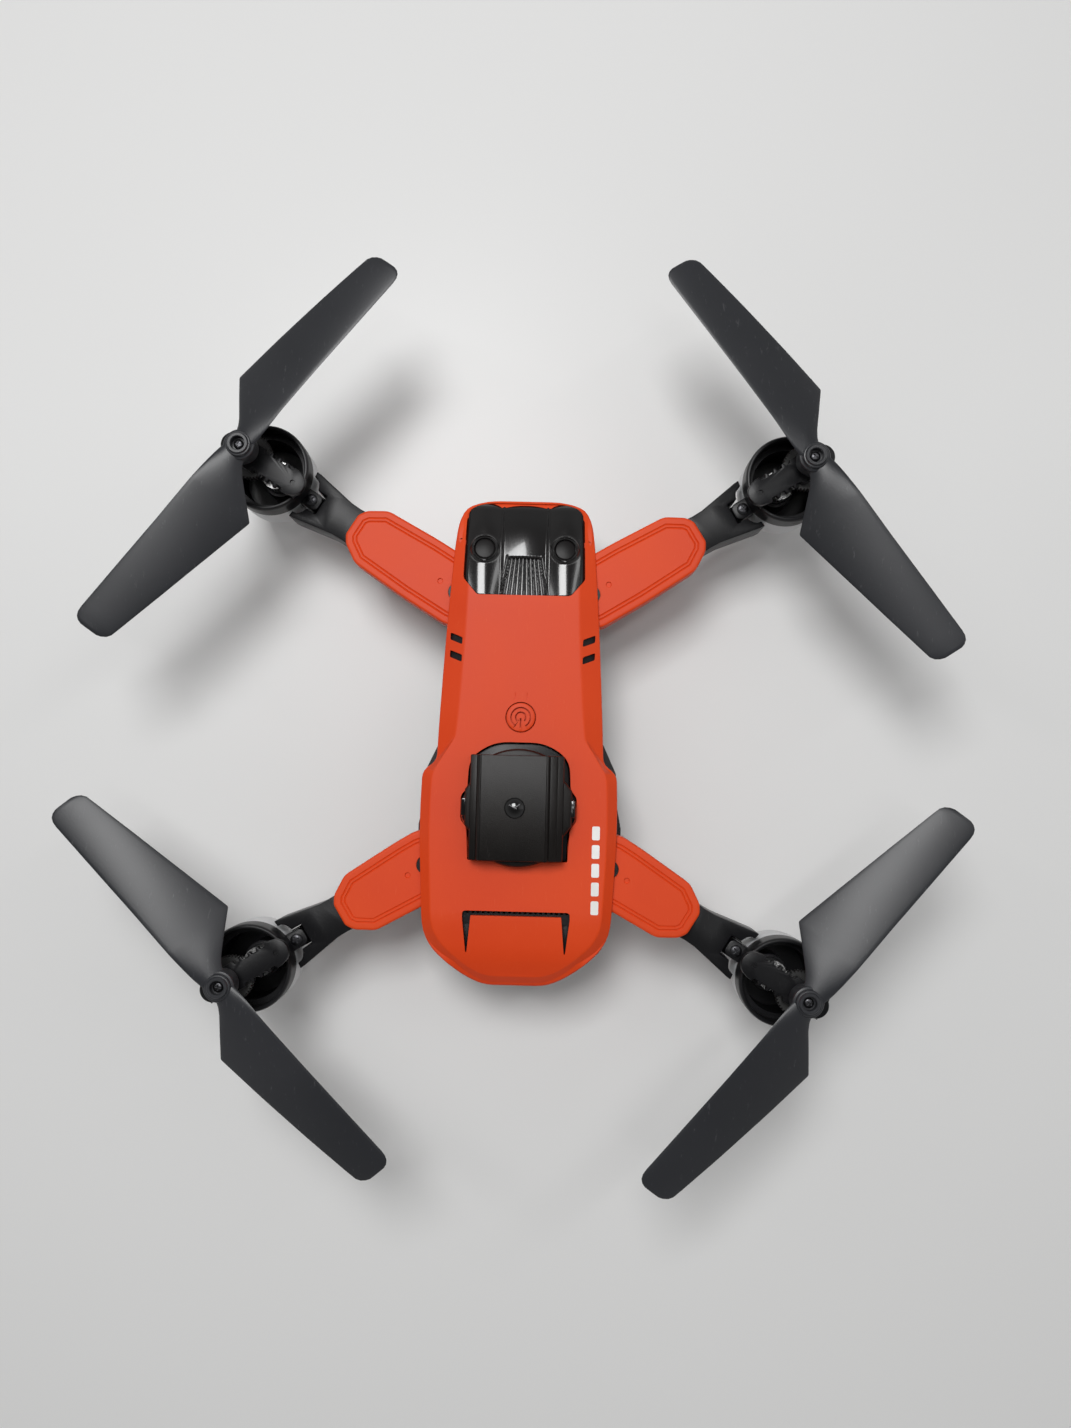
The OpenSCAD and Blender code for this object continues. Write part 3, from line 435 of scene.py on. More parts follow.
def buildStudio():
    floorMat, shader, place = newMaterial("paleTable", Specular_IOR_Level=0.25)
    cloud = place.noise(1.5, 3)
    wire(shader, Base_Color=cloud.mix(rgb(*studio["floorDark"]), rgb(*studio["floorLight"])),
         Roughness=(cloud * 0.1 + studio["floorRough"]).clamped())
    s, z = studio["floorSize"] / 2 / mm, studio["floorZ"]
    table = [(-s, -s, z), (s, -s, z), (s, s, z), (-s, s, z)]
    floor = addMesh("tableTop", table, [(0, 1, 2, 3)], floorMat, None, None)
    world = bpy.data.worlds.new("studioSky")
    world.use_nodes = True
    tree = world.node_tree
    sky = Sock(tree, tree.nodes.new("ShaderNodeTexCoord").outputs["Generated"])
    up = sky.node("ShaderNodeSeparateXYZ", {}, {"Vector": sky}, 2)
    glow = up.ramp((0.0, studio["horizon"]), (0.55, studio["horizon"] * 0.8), (0.95, studio["zenith"]))
    tree.links.new(glow.out, tree.nodes["Background"].inputs["Color"])
    scene.world = world
    for name, spec in studio["lights"].items():
        data = bpy.data.lights.new(name, "AREA")
        data.shape, data.energy = "RECTANGLE", spec["power"]
        data.size, data.size_y = spec["size"]
        lamp = bpy.data.objects.new(name, data)
        lamp.location = spec["where"]
        lamp.rotation_euler = (-Vector(spec["where"])).to_track_quat("-Z", "Y").to_euler()
        scene.collection.objects.link(lamp)


buildStudio()
print("camera and studio ready")


# heights in a table, joined by straight lines or smoothly
def along(table, y):
    for (ya, za), (yb, zb) in zip(table, table[1:]):
        if ya <= y <= yb:
            return za + (zb - za) * (y - ya) / (yb - ya)
    return table[0][1] if y < table[0][0] else table[-1][1]


def eased(table, y):
    n = len(table)
    y = min(max(y, table[0][0]), table[-1][0])
    i = max(k for k in range(n - 1) if table[k][0] <= y)
    ends = [(table[max(k - 1, 0)], table[min(k + 1, n - 1)]) for k in (i, i + 1)]
    slope = [(b[1] - a[1]) / (b[0] - a[0]) for a, b in ends]
    h = table[i + 1][0] - table[i][0]
    t = (y - table[i][0]) / h
    return ((2 * t ** 3 - 3 * t ** 2 + 1) * table[i][1] + (t ** 3 - 2 * t ** 2 + t) * h * slope[0]
            + (3 * t ** 2 - 2 * t ** 3) * table[i + 1][1] + (t ** 3 - t ** 2) * h * slope[1])


roof = {"profile": [(-76, 33.0), (-73, 34.4), (-67, 36.5), (-58, 37.8), (-54, 38), (-50, 38), (30, 38),
                    (36.5, 38),
                    (48, 36.9), (56.5, 35.4), (65.4, 32.3)],
        "rim": 34.55, "lip": 1.1, "wall": 1.5, "slope": 0.42, "rearSteep": 1.7, "rearFrom": -13}
outlineSide = [(10.5, 65.3), (17.2, 63.5), (19.5, 59), (20.4, 52.5), (21.4, 38), (22.3, 25.5), (23.4, 5),
               (24.2, -11.5),
               (28.1, -15), (28.4, -24), (28.4, -34), (27.1, -60), (24.5, -65.5), (20, -69.8), (14.4, -73.8),
               (9, -76.3)]
plateauSide = [(9.8, 63.4), (15.0, 61.9), (15.9, 57), (15.9, 52), (15.9, 38), (16.3, 25.5), (17.5, 5),
               (18.6, -5),
               (25, -15.5), (25.4, -24), (25.4, -34), (24.2, -58.5), (21.8, -63.2), (17.8, -67),
               (12.9, -70.8),
               (8.2, -73)]
coreSide = [(10.5, 64.7), (17.0, 62.9), (19.3, 58.4), (19.6, 52), (8.6, 47.6), (8.6, 27.5), (12.6, 24),
            (21.5, 5),
            (22.8, -1), (15.8, -35), (15.8, -51.5), (21.5, -53), (27.2, -57), (26.7, -60.4), (24.1, -65.4),
            (19.6, -69.6), (14, -73.6), (9, -75.9)]
cornerRounding = [3, 3, 3, 4, 6, 8, 8, 1.6, 1.8, 4, 6, 4, 3, 3, 3, 3]
coreRounding = [2, 2, 2, 1, 1, 1.5, 3, 3, 1.5, 1.5, 1, 1, 1.5, 2, 2, 2, 2, 2]
# what is cut through the roof: right-hand halves of closed outlines, with the rounding of each corner
roofCuts = {"low": 30.0, "high": 41.0,
            "panel": [(10.6, 64.55), (15.0, 63.55), (17.2, 61.3), (17.7, 41.4), (13.6, 36.5)],
            "panelRounding": [2, 2.2, 2, 0.8, 0.8],
            "head": [(7.2, -6.0), (14.4, -10.6), (14.8, -19.4), (16.6, -21.5), (16.6, -28.4), (14.8, -30.6),
                     (14.3, -39.9), (5.5, -40.2), (4, -41.2)],
            "headRounding": [4, 4, 1, 1, 1, 1, 0.5, 1, 1],
            "slit": [(-15.35, -56.4), (-13.6, -56.4), (-12.9, -55.6), (12.9, -55.6), (13.6, -56.4),
                     (15.35, -56.4),
                     (15.35, -54.2), (-15.35, -54.2)],
            "slitRounding": [0.1, 0.1, 0.3, 0.3, 0.1, 0.1, 1.1, 1.1],
            "slitEnd": [(15.35, -56.4), (14.9, -56.3), (12.9, -55.4), (13.9, -66.2), (14.25, -66.2)],
            "sideVent": [(-1.85, -1.05), (1.75, -1.05), (1.85, 1.05), (-1.75, 1.05)], "sideVentX": 19.2,
            "sideVentY": (18.6, 23.7), "sideVentLean": 0.42, "button": 4.42, "buttonY": 1.2,
            "markX": 1.7, "markY": 7.2, "markFloor": 37.8}


def roofZ(x, y):
    return eased(roof["profile"], y)


# strips across a loop whose points i and n-1-i are mirror images
def stripFaces(base, n, flip=False):
    faces = []
    for i in range(n // 2 - 1):
        a, b, c, d = base + i, base + i + 1, base + n - 2 - i, base + n - 1 - i
        faces.append((a, b, c, d) if not flip else (d, c, b, a))
    return faces


# cutters for the openings of the roof
def roofTools():
    c = roofCuts

    def through(outline):
        return loft([level(outline, c["low"]), level(outline, c["high"])])

    panel = rounded(bothSides(c["panel"]), c["panelRounding"] + c["panelRounding"][::-1], 4)
    head = rounded(bothSides(c["head"]), c["headRounding"] + c["headRounding"][::-1], 5)
    slit = rounded(c["slit"], c["slitRounding"], 4)
    tools = [through(panel), through(circle(c["button"], 64, (0, c["buttonY"]))), through(head),
             through(slit)]
    for s in (-1, 1):
        tools.append(through([(s * x, y) for x, y in c["slitEnd"]][::s]))
        for y in c["sideVentY"]:
            base = rounded(c["sideVent"], 0.45, 3)
            tools.append(through([(s * c["sideVentX"] + u, y + v + s * u * c["sideVentLean"]) for u,
                                  v in base]))
        # two short marks ahead of the power button
        mark = boxMesh(-0.13, 0.13, -1.1, 1.1, c["markFloor"], 39)
        tools.append(moved(mark, Matrix.Translation((s * c["markX"], c["markY"], 0))))
    return tools


def buildTopShell():
    radii = cornerRounding + cornerRounding[::-1]
    outer, flat = rounded(bothSides(outlineSide), radii, 3), rounded(bothSides(plateauSide), radii, 3)
    n = len(outer)

    def edgeZ(i):
        (xo, yo), (xp, yp) = outer[i], flat[i]
        run = math.hypot(xo - xp, yo - yp)
        steep = roof["rearSteep"] if yo < roof["rearFrom"] else 1.0
        return min(roofZ(xo, yo), roofZ(xp, yp) - roof["slope"] * run * steep)

    def rimZ(i):
        return min(roof["rim"], edgeZ(i) - roof["lip"])

    # t runs from the flat of the roof, 0, to its outer edge, 1
    def between(t, lift=0.0):
        loop = []
        for i in range(n):
            (xo, yo), (xp, yp) = outer[i], flat[i]
            x, y = xp + (xo - xp) * t, yp + (yo - yp) * t
            z = roofZ(xp, yp) + (edgeZ(i) - roofZ(xp, yp)) * t
            loop.append((x, y, z + lift))
        return loop

    def rimLoop(shrink, dz):
        return [(x, y, rimZ(i) + dz) for i, (x, y) in enumerate(inset(outer, shrink))]

    def softened(t, inward, drop):
        pts = inset([(p[0], p[1]) for p in between(t)], inward)
        return [(x, y, z[2] - drop) for (x, y), z in zip(pts, between(t))]

    w = roof["wall"]
    inner = inset([(p[0], p[1]) for p in between(1.0)], w)
    innerEdge = [(x, y, max(edgeZ(i) - w, rimZ(i) + 0.1)) for i, (x, y) in enumerate(inner)]
    innerFlat = [(x, y, z - w) for x, y, z in between(0.0)]
    loops = [innerFlat, innerEdge, rimLoop(w, 0.0), rimLoop(0.15, 0.0), rimLoop(0.0, 0.15),
             softened(1.0, 0.0, 0.5), softened(1.0, 0.12, 0.2), softened(1.0, 0.45, 0.0),
             between(0.12, -0.02), between(0.05), softened(0.0, 0.35, 0.0)]
    verts, faces = loft(loops, False, False)
    faces += stripFaces(0, n, True) + stripFaces((len(loops) - 1) * n, n)
    shell = addMesh("roofShell", verts, faces, orange, "fuselage", "orange_plastic", 20)
    cut(shell, *roofTools())
    bevel(shell, 0.16, 40, 2)
    applyModifiers(shell)
    softEdges(shell, 28)
    evenShading(shell)
    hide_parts("top_shell")
    buildSeamWall()
    print("roof done")


# wall between the shells, and the pads over the hinges
seam = {"low": 22.0, "high": 35.0, "under": 0.9, "wall": 1.5, "frontLimit": 20.6, "rearLimit": 27.0,
        "pad": [(0, 34.55), (3.3, 34.55), (3.5, 34.7), (3.5, 35.3), (0, 35.3)]}


def hingePlace(reach, side):
    a = math.radians(plan["sweep"])
    x, y = plan["hubX"] - reach * math.cos(a), plan["hubY"] - reach * math.sin(a)
    return round(x, 3), side * round(y, 3)


def buildSeamWall():
    core = rounded(bothSides(coreSide), coreRounding + coreRounding[::-1], 4)
    coreIn = inset(core, seam["wall"])

    def coreTop(x, y):
        return min(roofZ(x, y) - seam["under"], seam["high"])

    low = seam["low"]
    verts, faces = loft([level(coreIn, low), level(core, low), level(core, coreTop), level(coreIn, coreTop),
                         level(coreIn, low)], False, False)
    wall = addMesh("seamWall", verts, faces, orange, "fuselage", "orange_plastic", 30)
    bevel(wall, 0.15)
    for s in (-1, 1):
        for px, py in (hingePlace(plan["frontReach"], 1), hingePlace(plan["rearReach"], -1)):
            limit = seam["frontLimit"] if py > 0 else seam["rearLimit"]
            pv, pf = turned(seam["pad"], 40, (s * px, py))
            pv = [(min(max(x, -limit), limit), y, z) for x, y, z in pv]
            addMesh("hingePad", pv, pf, orange, "fuselage", "orange_plastic", 30)


buildTopShell()


# glossy nose panel as a fine height field
nose = {"step": 0.3, "columns": 260, "front": 64.35, "rear": 36.66, "depth": 1.3,
        "edge": [(10.6, 64.4), (14.9, 63.4), (17.05, 61.2), (17.55, 41.45), (13.5, 36.65)],
        "channelHalf": 6.6, "bulge": 1.5, "ridge": 0.36, "ribs": 9, "grilleFront": 48.0,
        "lampX": 11.7, "lampY": 50.2, "lampTilt": -7.5,
        "bezel": [(3.05, -1.2), (3.05, 0.2), (3.15, 0.42), (3.35, 0.55), (3.6, 0.45), (3.72, 0.15),
                  (3.72, -1.2)],
        "glass": [(0, -1.0), (3.0, -1.0), (3.0, -0.3), (2.85, -0.12), (2.6, -0.06), (0, -0.04)]}


def panelHeight(x, y):
    ax = abs(x)
    z = roofZ(x, y) - 0.25
    side = nose["channelHalf"]
    if ax > side:
        t = (ax - side) / (17.5 - side)
        z += nose["bulge"] * math.sin(math.pi * min(t * 0.92 + 0.04, 1)) - 0.95
        z -= 0.5 * max(0.0, (ax - 16.1) / 1.4) ** 2
    else:
        z += 0.5 * math.cos(math.pi * x / side / 2) - 0.55
    z += nose["ridge"] * math.exp(-((ax - side) / 0.32) ** 2)
    z -= 0.8 * max(0.0, (y - 62.3) / 2.0) ** 2
    # sunk grille, wider towards the rear
    half = 4.75 + (47.8 - y) * 0.167
    sink = min(max((nose["grilleFront"] - y) / 0.5, 0.0), 1.0) * min(max((half - ax) / 0.35, 0.0), 1.0)
    if sink > 0:
        rib = 0.5 + 0.5 * math.cos(2 * math.pi * (x / (half * 2 / nose["ribs"])))
        z -= sink * (0.95 - 0.55 * rib ** 2)
    z += 0.22 * math.exp(-((ax - half - 0.35) / 0.22) ** 2) * min(max((48.3 - y) / 0.4, 0.0), 1.0)
    # collar round each lamp
    r = math.hypot(ax - nose["lampX"], y - nose["lampY"])
    z += 0.5 * math.exp(-((r - 3.75) / 0.35) ** 2)
    if r < 3.6:
        z -= 0.7
    return z


# widest half width of an outline at y
def halfWidth(outline, y):
    best = 0.0
    for (xa, ya), (xb, yb) in zip(outline, outline[1:]):
        if min(ya, yb) <= y <= max(ya, yb) and ya != yb:
            best = max(best, xa + (xb - xa) * (y - ya) / (yb - ya))
    return best


def buildNose():
    side = rounded([(0, 64.4)] + nose["edge"] + [(0, 36.65)], [0.1, 2.0, 2.0, 2.0, 0.6, 0.6, 0.1], 5)
    front, rear, cols = nose["front"], nose["rear"], nose["columns"]
    rows = int((front - rear) / nose["step"])
    verts = []
    for y in [rear + (front - rear) * j / rows for j in range(rows + 1)]:
        half = max(halfWidth(side, y), 2.0)
        for x in [half * (2 * i / cols - 1) for i in range(cols + 1)]:
            verts.append((x, y, panelHeight(x, y)))
    w = cols + 1
    faces = [(j * w + i, j * w + i + 1, (j + 1) * w + i + 1, (j + 1) * w + i)
             for j in range(rows) for i in range(cols)]
    rim = list(range(w)) + [j * w + cols for j in range(1, rows + 1)]
    rim += [rows * w + i for i in range(cols - 1, -1, -1)] + [j * w for j in range(rows - 1, 0, -1)]
    base = len(verts)
    verts += [(verts[k][0], verts[k][1], verts[k][2] - nose["depth"]) for k in rim]
    m = len(rim)
    faces += [(rim[k], base + k, base + (k + 1) % m, rim[(k + 1) % m]) for k in range(m)]
    faces.append(tuple(base + k for k in range(m)))
    panel = addMesh("nosePanel", verts, faces, gloss, "fuselage", "gloss_black", 60)
    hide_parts("nose_panel")
    lampZ = roofZ(0, nose["lampY"]) - 0.05
    for s in (-1, 1):
        place = Matrix.Translation(Vector((s * nose["lampX"], nose["lampY"], lampZ)) * mm)
        tilt = place @ Matrix.Rotation(math.radians(nose["lampTilt"]), 4, "X")
        ring = turned(nose["bezel"], 64, closed=True)
        bezel = addMesh("lampBezel", *ring, gloss, "fuselage", "gloss_black", 50, tilt)
        addMesh("lampGlass", *turned(nose["glass"], 64), smokedLens, "fuselage", "gloss_black", 50, tilt)
        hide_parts("nose_lamps")
    print("nose done")


buildNose()


# power button: a disc with a sunk ring, an arc and a stroke
button = {"profile": [(0.01, 24.4), (1.5, 24.4), (1.5, 35), (5.2, 35), (5.2, 36.2), (4.2, 36.2), (4.2, 37.55),
                      (4.08, 37.82), (3.8, 37.95), (0.01, 37.97)],
          "grooveFloor": 36.5, "above": 39, "outerArc": (2.6, 3.0, -60, 240),
          "innerArc": (1.25, 1.65, -45, 225)}


def arcGroove(r0, r1, start, end, n=24):
    a0, a1 = math.radians(start), math.radians(end)
    turns = [a0 + (a1 - a0) * i / n for i in range(n + 1)]
    loop = [(r1 * math.cos(a), r1 * math.sin(a)) for a in turns]
    turns = [a1 - (a1 - a0) * i / n for i in range(n + 1)]
    loop += [(r0 * math.cos(a), r0 * math.sin(a)) for a in turns]
    return loft([level(loop, button["grooveFloor"]), level(loop, button["above"])])


def buildButton():
    disc = addMesh("powerButton", *turned(button["profile"], 72), orange, "power_button", "orange_plastic",
                   30)
    stroke = boxMesh(-0.22, 0.22, -3.0, -0.3, button["grooveFloor"], button["above"])
    cut(disc, arcGroove(*button["outerArc"]), stroke, arcGroove(*button["innerArc"]))
    disc.data.transform(Matrix.Translation((0, roofCuts["buttonY"] * mm, 0)))
    bevel(disc, 0.06, 50, 1)
    applyModifiers(disc)
    softEdges(disc, 30)
    evenShading(disc)
    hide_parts("power_button")


buildButton()


# toothed strip and screens behind the vents
vents = {"pitch": 1.5, "tooth": 0.8, "half": 15.7, "lastTooth": 15.0, "front": -54.1, "root": -55.1,
         "rear": -58.0,
         "screen": [(17.1, 34.9), (21.3, 34.2), (21.3, 34.6), (17.1, 35.9)], "screenY": (16.4, 25.8)}


def buildVents():
    v = vents
    comb = [(-v["half"], v["rear"]), (v["half"], v["rear"]), (v["half"], v["front"])]
    x = v["lastTooth"]
    while x > -v["lastTooth"]:
        comb += [(x, v["front"]), (x, v["root"]), (x - v["tooth"], v["root"]), (x - v["tooth"], v["front"])]
        x -= v["pitch"]
    comb += [(-v["half"], v["front"])]
    toothed = loft([level(comb, 34.7), level(comb, 35.9)])
    strip = addMesh("tailGrille", *toothed, black, "fuselage", "black_plastic", 30)
    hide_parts("vent_screens")
    for s in (-1, 1):
        pan = [(s * 12.7, -67.0), (s * 16.5, -67.0), (s * 16.3, -57.5), (s * 12.9, -57.5)][::s]
        addMesh("ventPan", *slab(pan, 33.2, 34.3, 0.15), black, "fuselage", "black_plastic", 30)
        verts = [(s * x, y, z) for y in v["screenY"] for x, z in v["screen"]]
        faces = [(0, 1, 5, 4), (1, 2, 6, 5), (2, 3, 7, 6), (3, 0, 4, 7), (0, 3, 2, 1), (4, 5, 6, 7)]
        addMesh("ventScreen", verts, faces, black, "fuselage", "black_plastic", 30)


buildVents()

# sensor head: its section across, ridged on top, then the bulges, well and dome
head = {"front": -9.75, "rear": -39.45, "middle": (0, -24.6), "aside": 0.45,
        "section": [(-13.25, 34.9), (13.25, 34.9), (13.25, 42.6), (13.05, 43.1), (12.2, 43.35), (11.5, 43.4),
                    (11.3, 43.75), (11.0, 43.9), (9.4, 43.95), (9.15, 44.25), (8.95, 44.85), (8.7, 45.0),
                    (8.4, 44.98), (8.2, 44.72), (-10.05, 44.7), (-10.2, 44.9), (-10.5, 44.95), (-10.9, 44.7),
                    (-11.15, 44.1), (-11.4, 43.4), (-12.2, 43.35), (-13.05, 43.1), (-13.25, 42.6)],
        "bulge": 16.7, "bulgeLevels": ((35.2, 16.7), (41.4, 16.7), (42.1, 16.55), (42.5, 16.2),
                                       (42.65, 15.7)),
        "well": [(7.2, -6.4), (14.2, -11), (14.4, -19.6), (16.2, -21.7), (16.2, -28.2), (14.4, -30.4),
                 (13.9, -39.6)],
        "wellRounding": [4, 4, 1, 1, 1, 1, 0.5], "dome": 3.1, "domeBase": 43.6, "domeTop": 46.05,
        "domeX": -0.9}
marks = {"count": 5, "first": -29.5, "pitch": 5.3, "length": 3.9, "left": 21.2, "right": 23.4}


def buildHead():
    y0, y1 = head["rear"], head["front"]
    section = [(x - head["aside"], z) for x, z in head["section"]]
    loops = []
    for y, pull in ((y0, 0.35), (y0 + 0.12, 0.1), (y0 + 0.4, 0.0), (y1 - 0.4, 0.0), (y1 - 0.12, 0.1),
                    (y1, 0.35)):
        loops.append([(x - math.copysign(pull, x) * (z > 36), y, z - pull * (z > 42)) for x, z in section])
    body = addMesh("headHousing", *loft(loops), darkGrey, "fuselage", "grey_plastic", 35)
    # round bulges on both sides, with a rounded upper rim
    cx, cy = head["middle"]
    bulge = []
    for z, r in head["bulgeLevels"]:
        e = head["bulge"] - r
        ear = [(15.2 - e, 5.0 - e / 2), (13.2 - e / 2, 7.6 - e / 2), (12.9 - e / 2, 7.8 - e / 2)]
        arcs = [(r * math.sin(b), r * math.cos(b)) for b in [math.radians(46 - 2 * i) for i in range(46)]]
        halfLine = ear + [p for p in arcs if p[0] >= 0.2]
        rightSide = [(x, -y) for x, y in reversed(halfLine)] + halfLine
        bulge.append([(x, cy + y, z) for x, y in rightSide] + [(-x, cy + y, z) for x,
                                                               y in reversed(rightSide)])
    addMesh("headBulge", *loft(bulge), darkGrey, "fuselage", "grey_plastic", 30)
    well = rounded(bothSides(head["well"]), head["wellRounding"] + head["wellRounding"][::-1], 5)
    addMesh("headWell", *slab(well, 34.9, 36.6, 0.2), black, "fuselage", "black_plastic", 30)
    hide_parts("turret_housing")
    # windows: sides, front, rear, and the dome on top
    for s in (-1, 1):
        win = [(s * 13.6, cy - 2.45), (s * 16.15, cy - 2.45), (s * 16.15, cy + 2.45), (s * 13.6, cy + 2.45)]
        win = rounded(win[::s], 0.5, 3)
        addMesh("sideWindow", *slab(win, 39.0, 41.9, 0.2), gloss, "fuselage", "gloss_black", 35)
    for y, depth in ((y1, 0.55), (y0, -0.75)):
        edge = sorted((y - 0.4 * (depth > 0) + 0.4 * (depth < 0), y + depth))
        win = rounded([(-2.6, edge[0]), (2.6, edge[0]), (2.6, edge[1]), (-2.6, edge[1])], 0.3, 3)
        addMesh("endWindow", *slab(win, 39.4, 42.5, 0.2), gloss, "fuselage", "gloss_black", 35)
    r, low = head["dome"], head["domeBase"]
    ball = [(r * math.cos(a), 44.1 + 1.95 * math.sin(a)) for a in [math.radians(6 * k) for k in range(16)]]
    dome = turned([(0, low), (r, low)] + ball[:-1] + [(0, head["domeTop"])], 64, (cx, cy))
    dome = moved(dome, Matrix.Translation((head["domeX"], 0, 0)))
    domeObj = addMesh("headDome", *dome, gloss, "fuselage", "gloss_black", 40)
    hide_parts("turret_windows")
    # plain bars on the right of the roof
    for k in range(marks["count"]):
        y = marks["first"] - k * marks["pitch"]
        x0, x1, length = marks["left"], marks["right"], marks["length"]
        bar = rounded([(x0, y - length), (x1, y - length), (x1, y), (x0, y)], 0.5, 3)
        skin = [level(bar, lambda x, y: roofZ(x, y) - 0.1), level(bar, lambda x, y: roofZ(x, y) + 0.05)]
        addMesh("roofMark", *loft(skin), whitePrint, "fuselage", "orange_plastic", 30)
    print("head done")


buildHead()


# one arm, drawn with the propeller shaft at the origin and the hinge on +X
def cornerMatrix(key):
    sx, sy = corners[key]
    a = math.radians(plan["sweep"])
    turnZ = math.atan2(-sy * math.sin(a), -sx * math.cos(a))
    hub = Matrix.Translation((sx * plan["hubX"] * mm, sy * plan["hubY"] * mm, 0))
    return hub @ Matrix.Rotation(turnZ, 4, "Z")


def bothEdges(half):
    return [(x, -y) for x, y in half] + [(x, y) for x, y in reversed(half)]


arm = {"low": 20.0, "high": 32.0, "cover": 34.0, "coverLow": 27.0, "half": 10.0, "beamEnd": 9.3,
       "grooves": (2.3, 3.3), "grooveDepth": 0.28, "pitBack": 6, "bore": 2.7,
       "coverSide": [(33.8, 3.4), (35.4, 5.8), (40.8, 9.2), (58, 10)],
       "beamSide": [(34.4, 5.3), (41, 7.4), (52, 7.9)],
       "yokeOuter": [(36, 5.6), (33, 5.4), (29.8, 5.5), (27.4, 5.9), (25.2, 6.3), (22.4, 6.8), (19.5, 7.3),
                     (17.4, 7.7), (15.9, 7.8)],
       "yokeInner": [(16.1, 6.1), (17.3, 5.9), (18.2, 5.2), (18.8, 4.2), (19.2, 3.2), (22.2, 3.2),
                     (22.4, 2.9)],
       "tongue": [(16.95, -2.9), (28, -2.9), (28, 2.9), (16.95, 2.9)]}


def endArc(reach, r):
    return [(reach + r * math.sin(math.pi * i / 24), r * math.cos(math.pi * i / 24)) for i in range(1, 12)]


def hingeBore(low, high, reach):
    r = arm["bore"]
    return turned([(0, low), (r, low), (r, high), (0, high)], 48, (reach, 0))


def buildArm(key):
    at = cornerMatrix(key)
    body = key + "_arm"
    reach = plan["frontReach"] if "front" in key else plan["rearReach"]
    # cover with two lines pressed in all round
    sharp = bothEdges(arm["coverSide"] + [(reach, 10)] + endArc(reach, arm["half"]) + [(reach + 10, 0.4)])
    turnRadii = [0.8, 1.0, 1.4, 3, 2] + [0.1] * 12
    top, low, deep = arm["cover"], arm["coverLow"], arm["grooveDepth"]

    def coverLine(d, z):
        radii = [max(r - d, 0.06) for r in turnRadii]
        return level(rounded(inset(sharp, d), radii + radii[::-1], 3), z)

    loops = [coverLine(1.2, 31.9), coverLine(1.2, low + 0.2), coverLine(0.9, low), coverLine(0.2, low),
             coverLine(0, low + 0.2), coverLine(0, top - 0.7), coverLine(0.15, top - 0.28),
             coverLine(0.5, top - 0.05), coverLine(0.8, top)]
    for d in arm["grooves"]:
        loops += [coverLine(d - 0.22, top), coverLine(d - 0.08, top - deep), coverLine(d + 0.08, top - deep),
                  coverLine(d + 0.22, top)]
    cover = addMesh("cover_" + key, *loft(loops), orange, body, "orange_plastic", 30, at)
    cover.data.transform(at.inverted())
    pit = [(0, top - 0.45), (0.75, top - 0.45), (0.85, top + 1), (0, top + 1)]
    cut(cover, turned(pit, 32, (reach - arm["pitBack"], 0)), hingeBore(20, 40, reach))
    cover.data.transform(at)
    bevel(cover, 0.08, 50, 1)
    applyModifiers(cover)
    softEdges(cover, 30)
    evenShading(cover)
    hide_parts(key + "_cover")
    # beam and its root
    side = rounded(arm["beamSide"] + [(reach, 8.9)] + endArc(reach, arm["beamEnd"]),
                   [0.05, 5, 5, 2] + [0.1] * 11, 3)
    beamLine = side + [(x, -y) for x, y in reversed(side)]
    skin = slab(beamLine, arm["low"], arm["high"] - 0.1, 0.5)
    beam = addMesh("beam_" + key, *skin, black, body, "black_plastic", 30)
    cut(beam, hingeBore(10, 40, reach))
    beam.data.transform(at)
    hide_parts(key + "_arm")
    # yoke: a solid plate that opens into two short prongs round the drum
    half = arm["yokeOuter"] + arm["yokeInner"]
    plate = slab(half + [(x, -y) for x, y in reversed(half)], arm["low"], arm["high"] - 0.5, 0.35)
    yoke = addMesh("yoke_" + key, *plate, black, body, "black_plastic", 40, at)
    bevel(yoke, 0.12, 50, 1)
    tongue = slab(rounded(arm["tongue"], 0.4, 3), arm["low"], 23.95, 0.3)
    addMesh("tongue_" + key, *tongue, black, body, "black_plastic", 40, at)


pod = {"radius": 12.6, "inner": 11.4, "waist": 1.6, "top": 37.0, "rim": 30.0, "floor": 19.0, "plate": 1.5,
       "motorAt": 7.8, "web": [(-6.0, -0.7), (-1.2, -0.7), (-1.2, 0.7), (-6.0, 0.7)],
       "lug": [(14.7, -2.6), (20.4, -2.6), (21.6, -1.6), (21.6, 1.6), (20.4, 2.6), (14.7, 2.6)],
       "cup": [(0.01, 14.0), (6.0, 14.1), (8.6, 14.45), (10.1, 15.1), (11.2, 16.0), (11.9, 17.3),
               (12.25, 18.8),
               (12.4, 20.5), (12.4, 29.7), (12.25, 29.95), (11.3, 29.95), (11.16, 29.7), (11.16, 18.6),
               (10.6, 17.1), (9.6, 16.0), (8.2, 15.4), (6, 15.1), (0.01, 15.0)]}


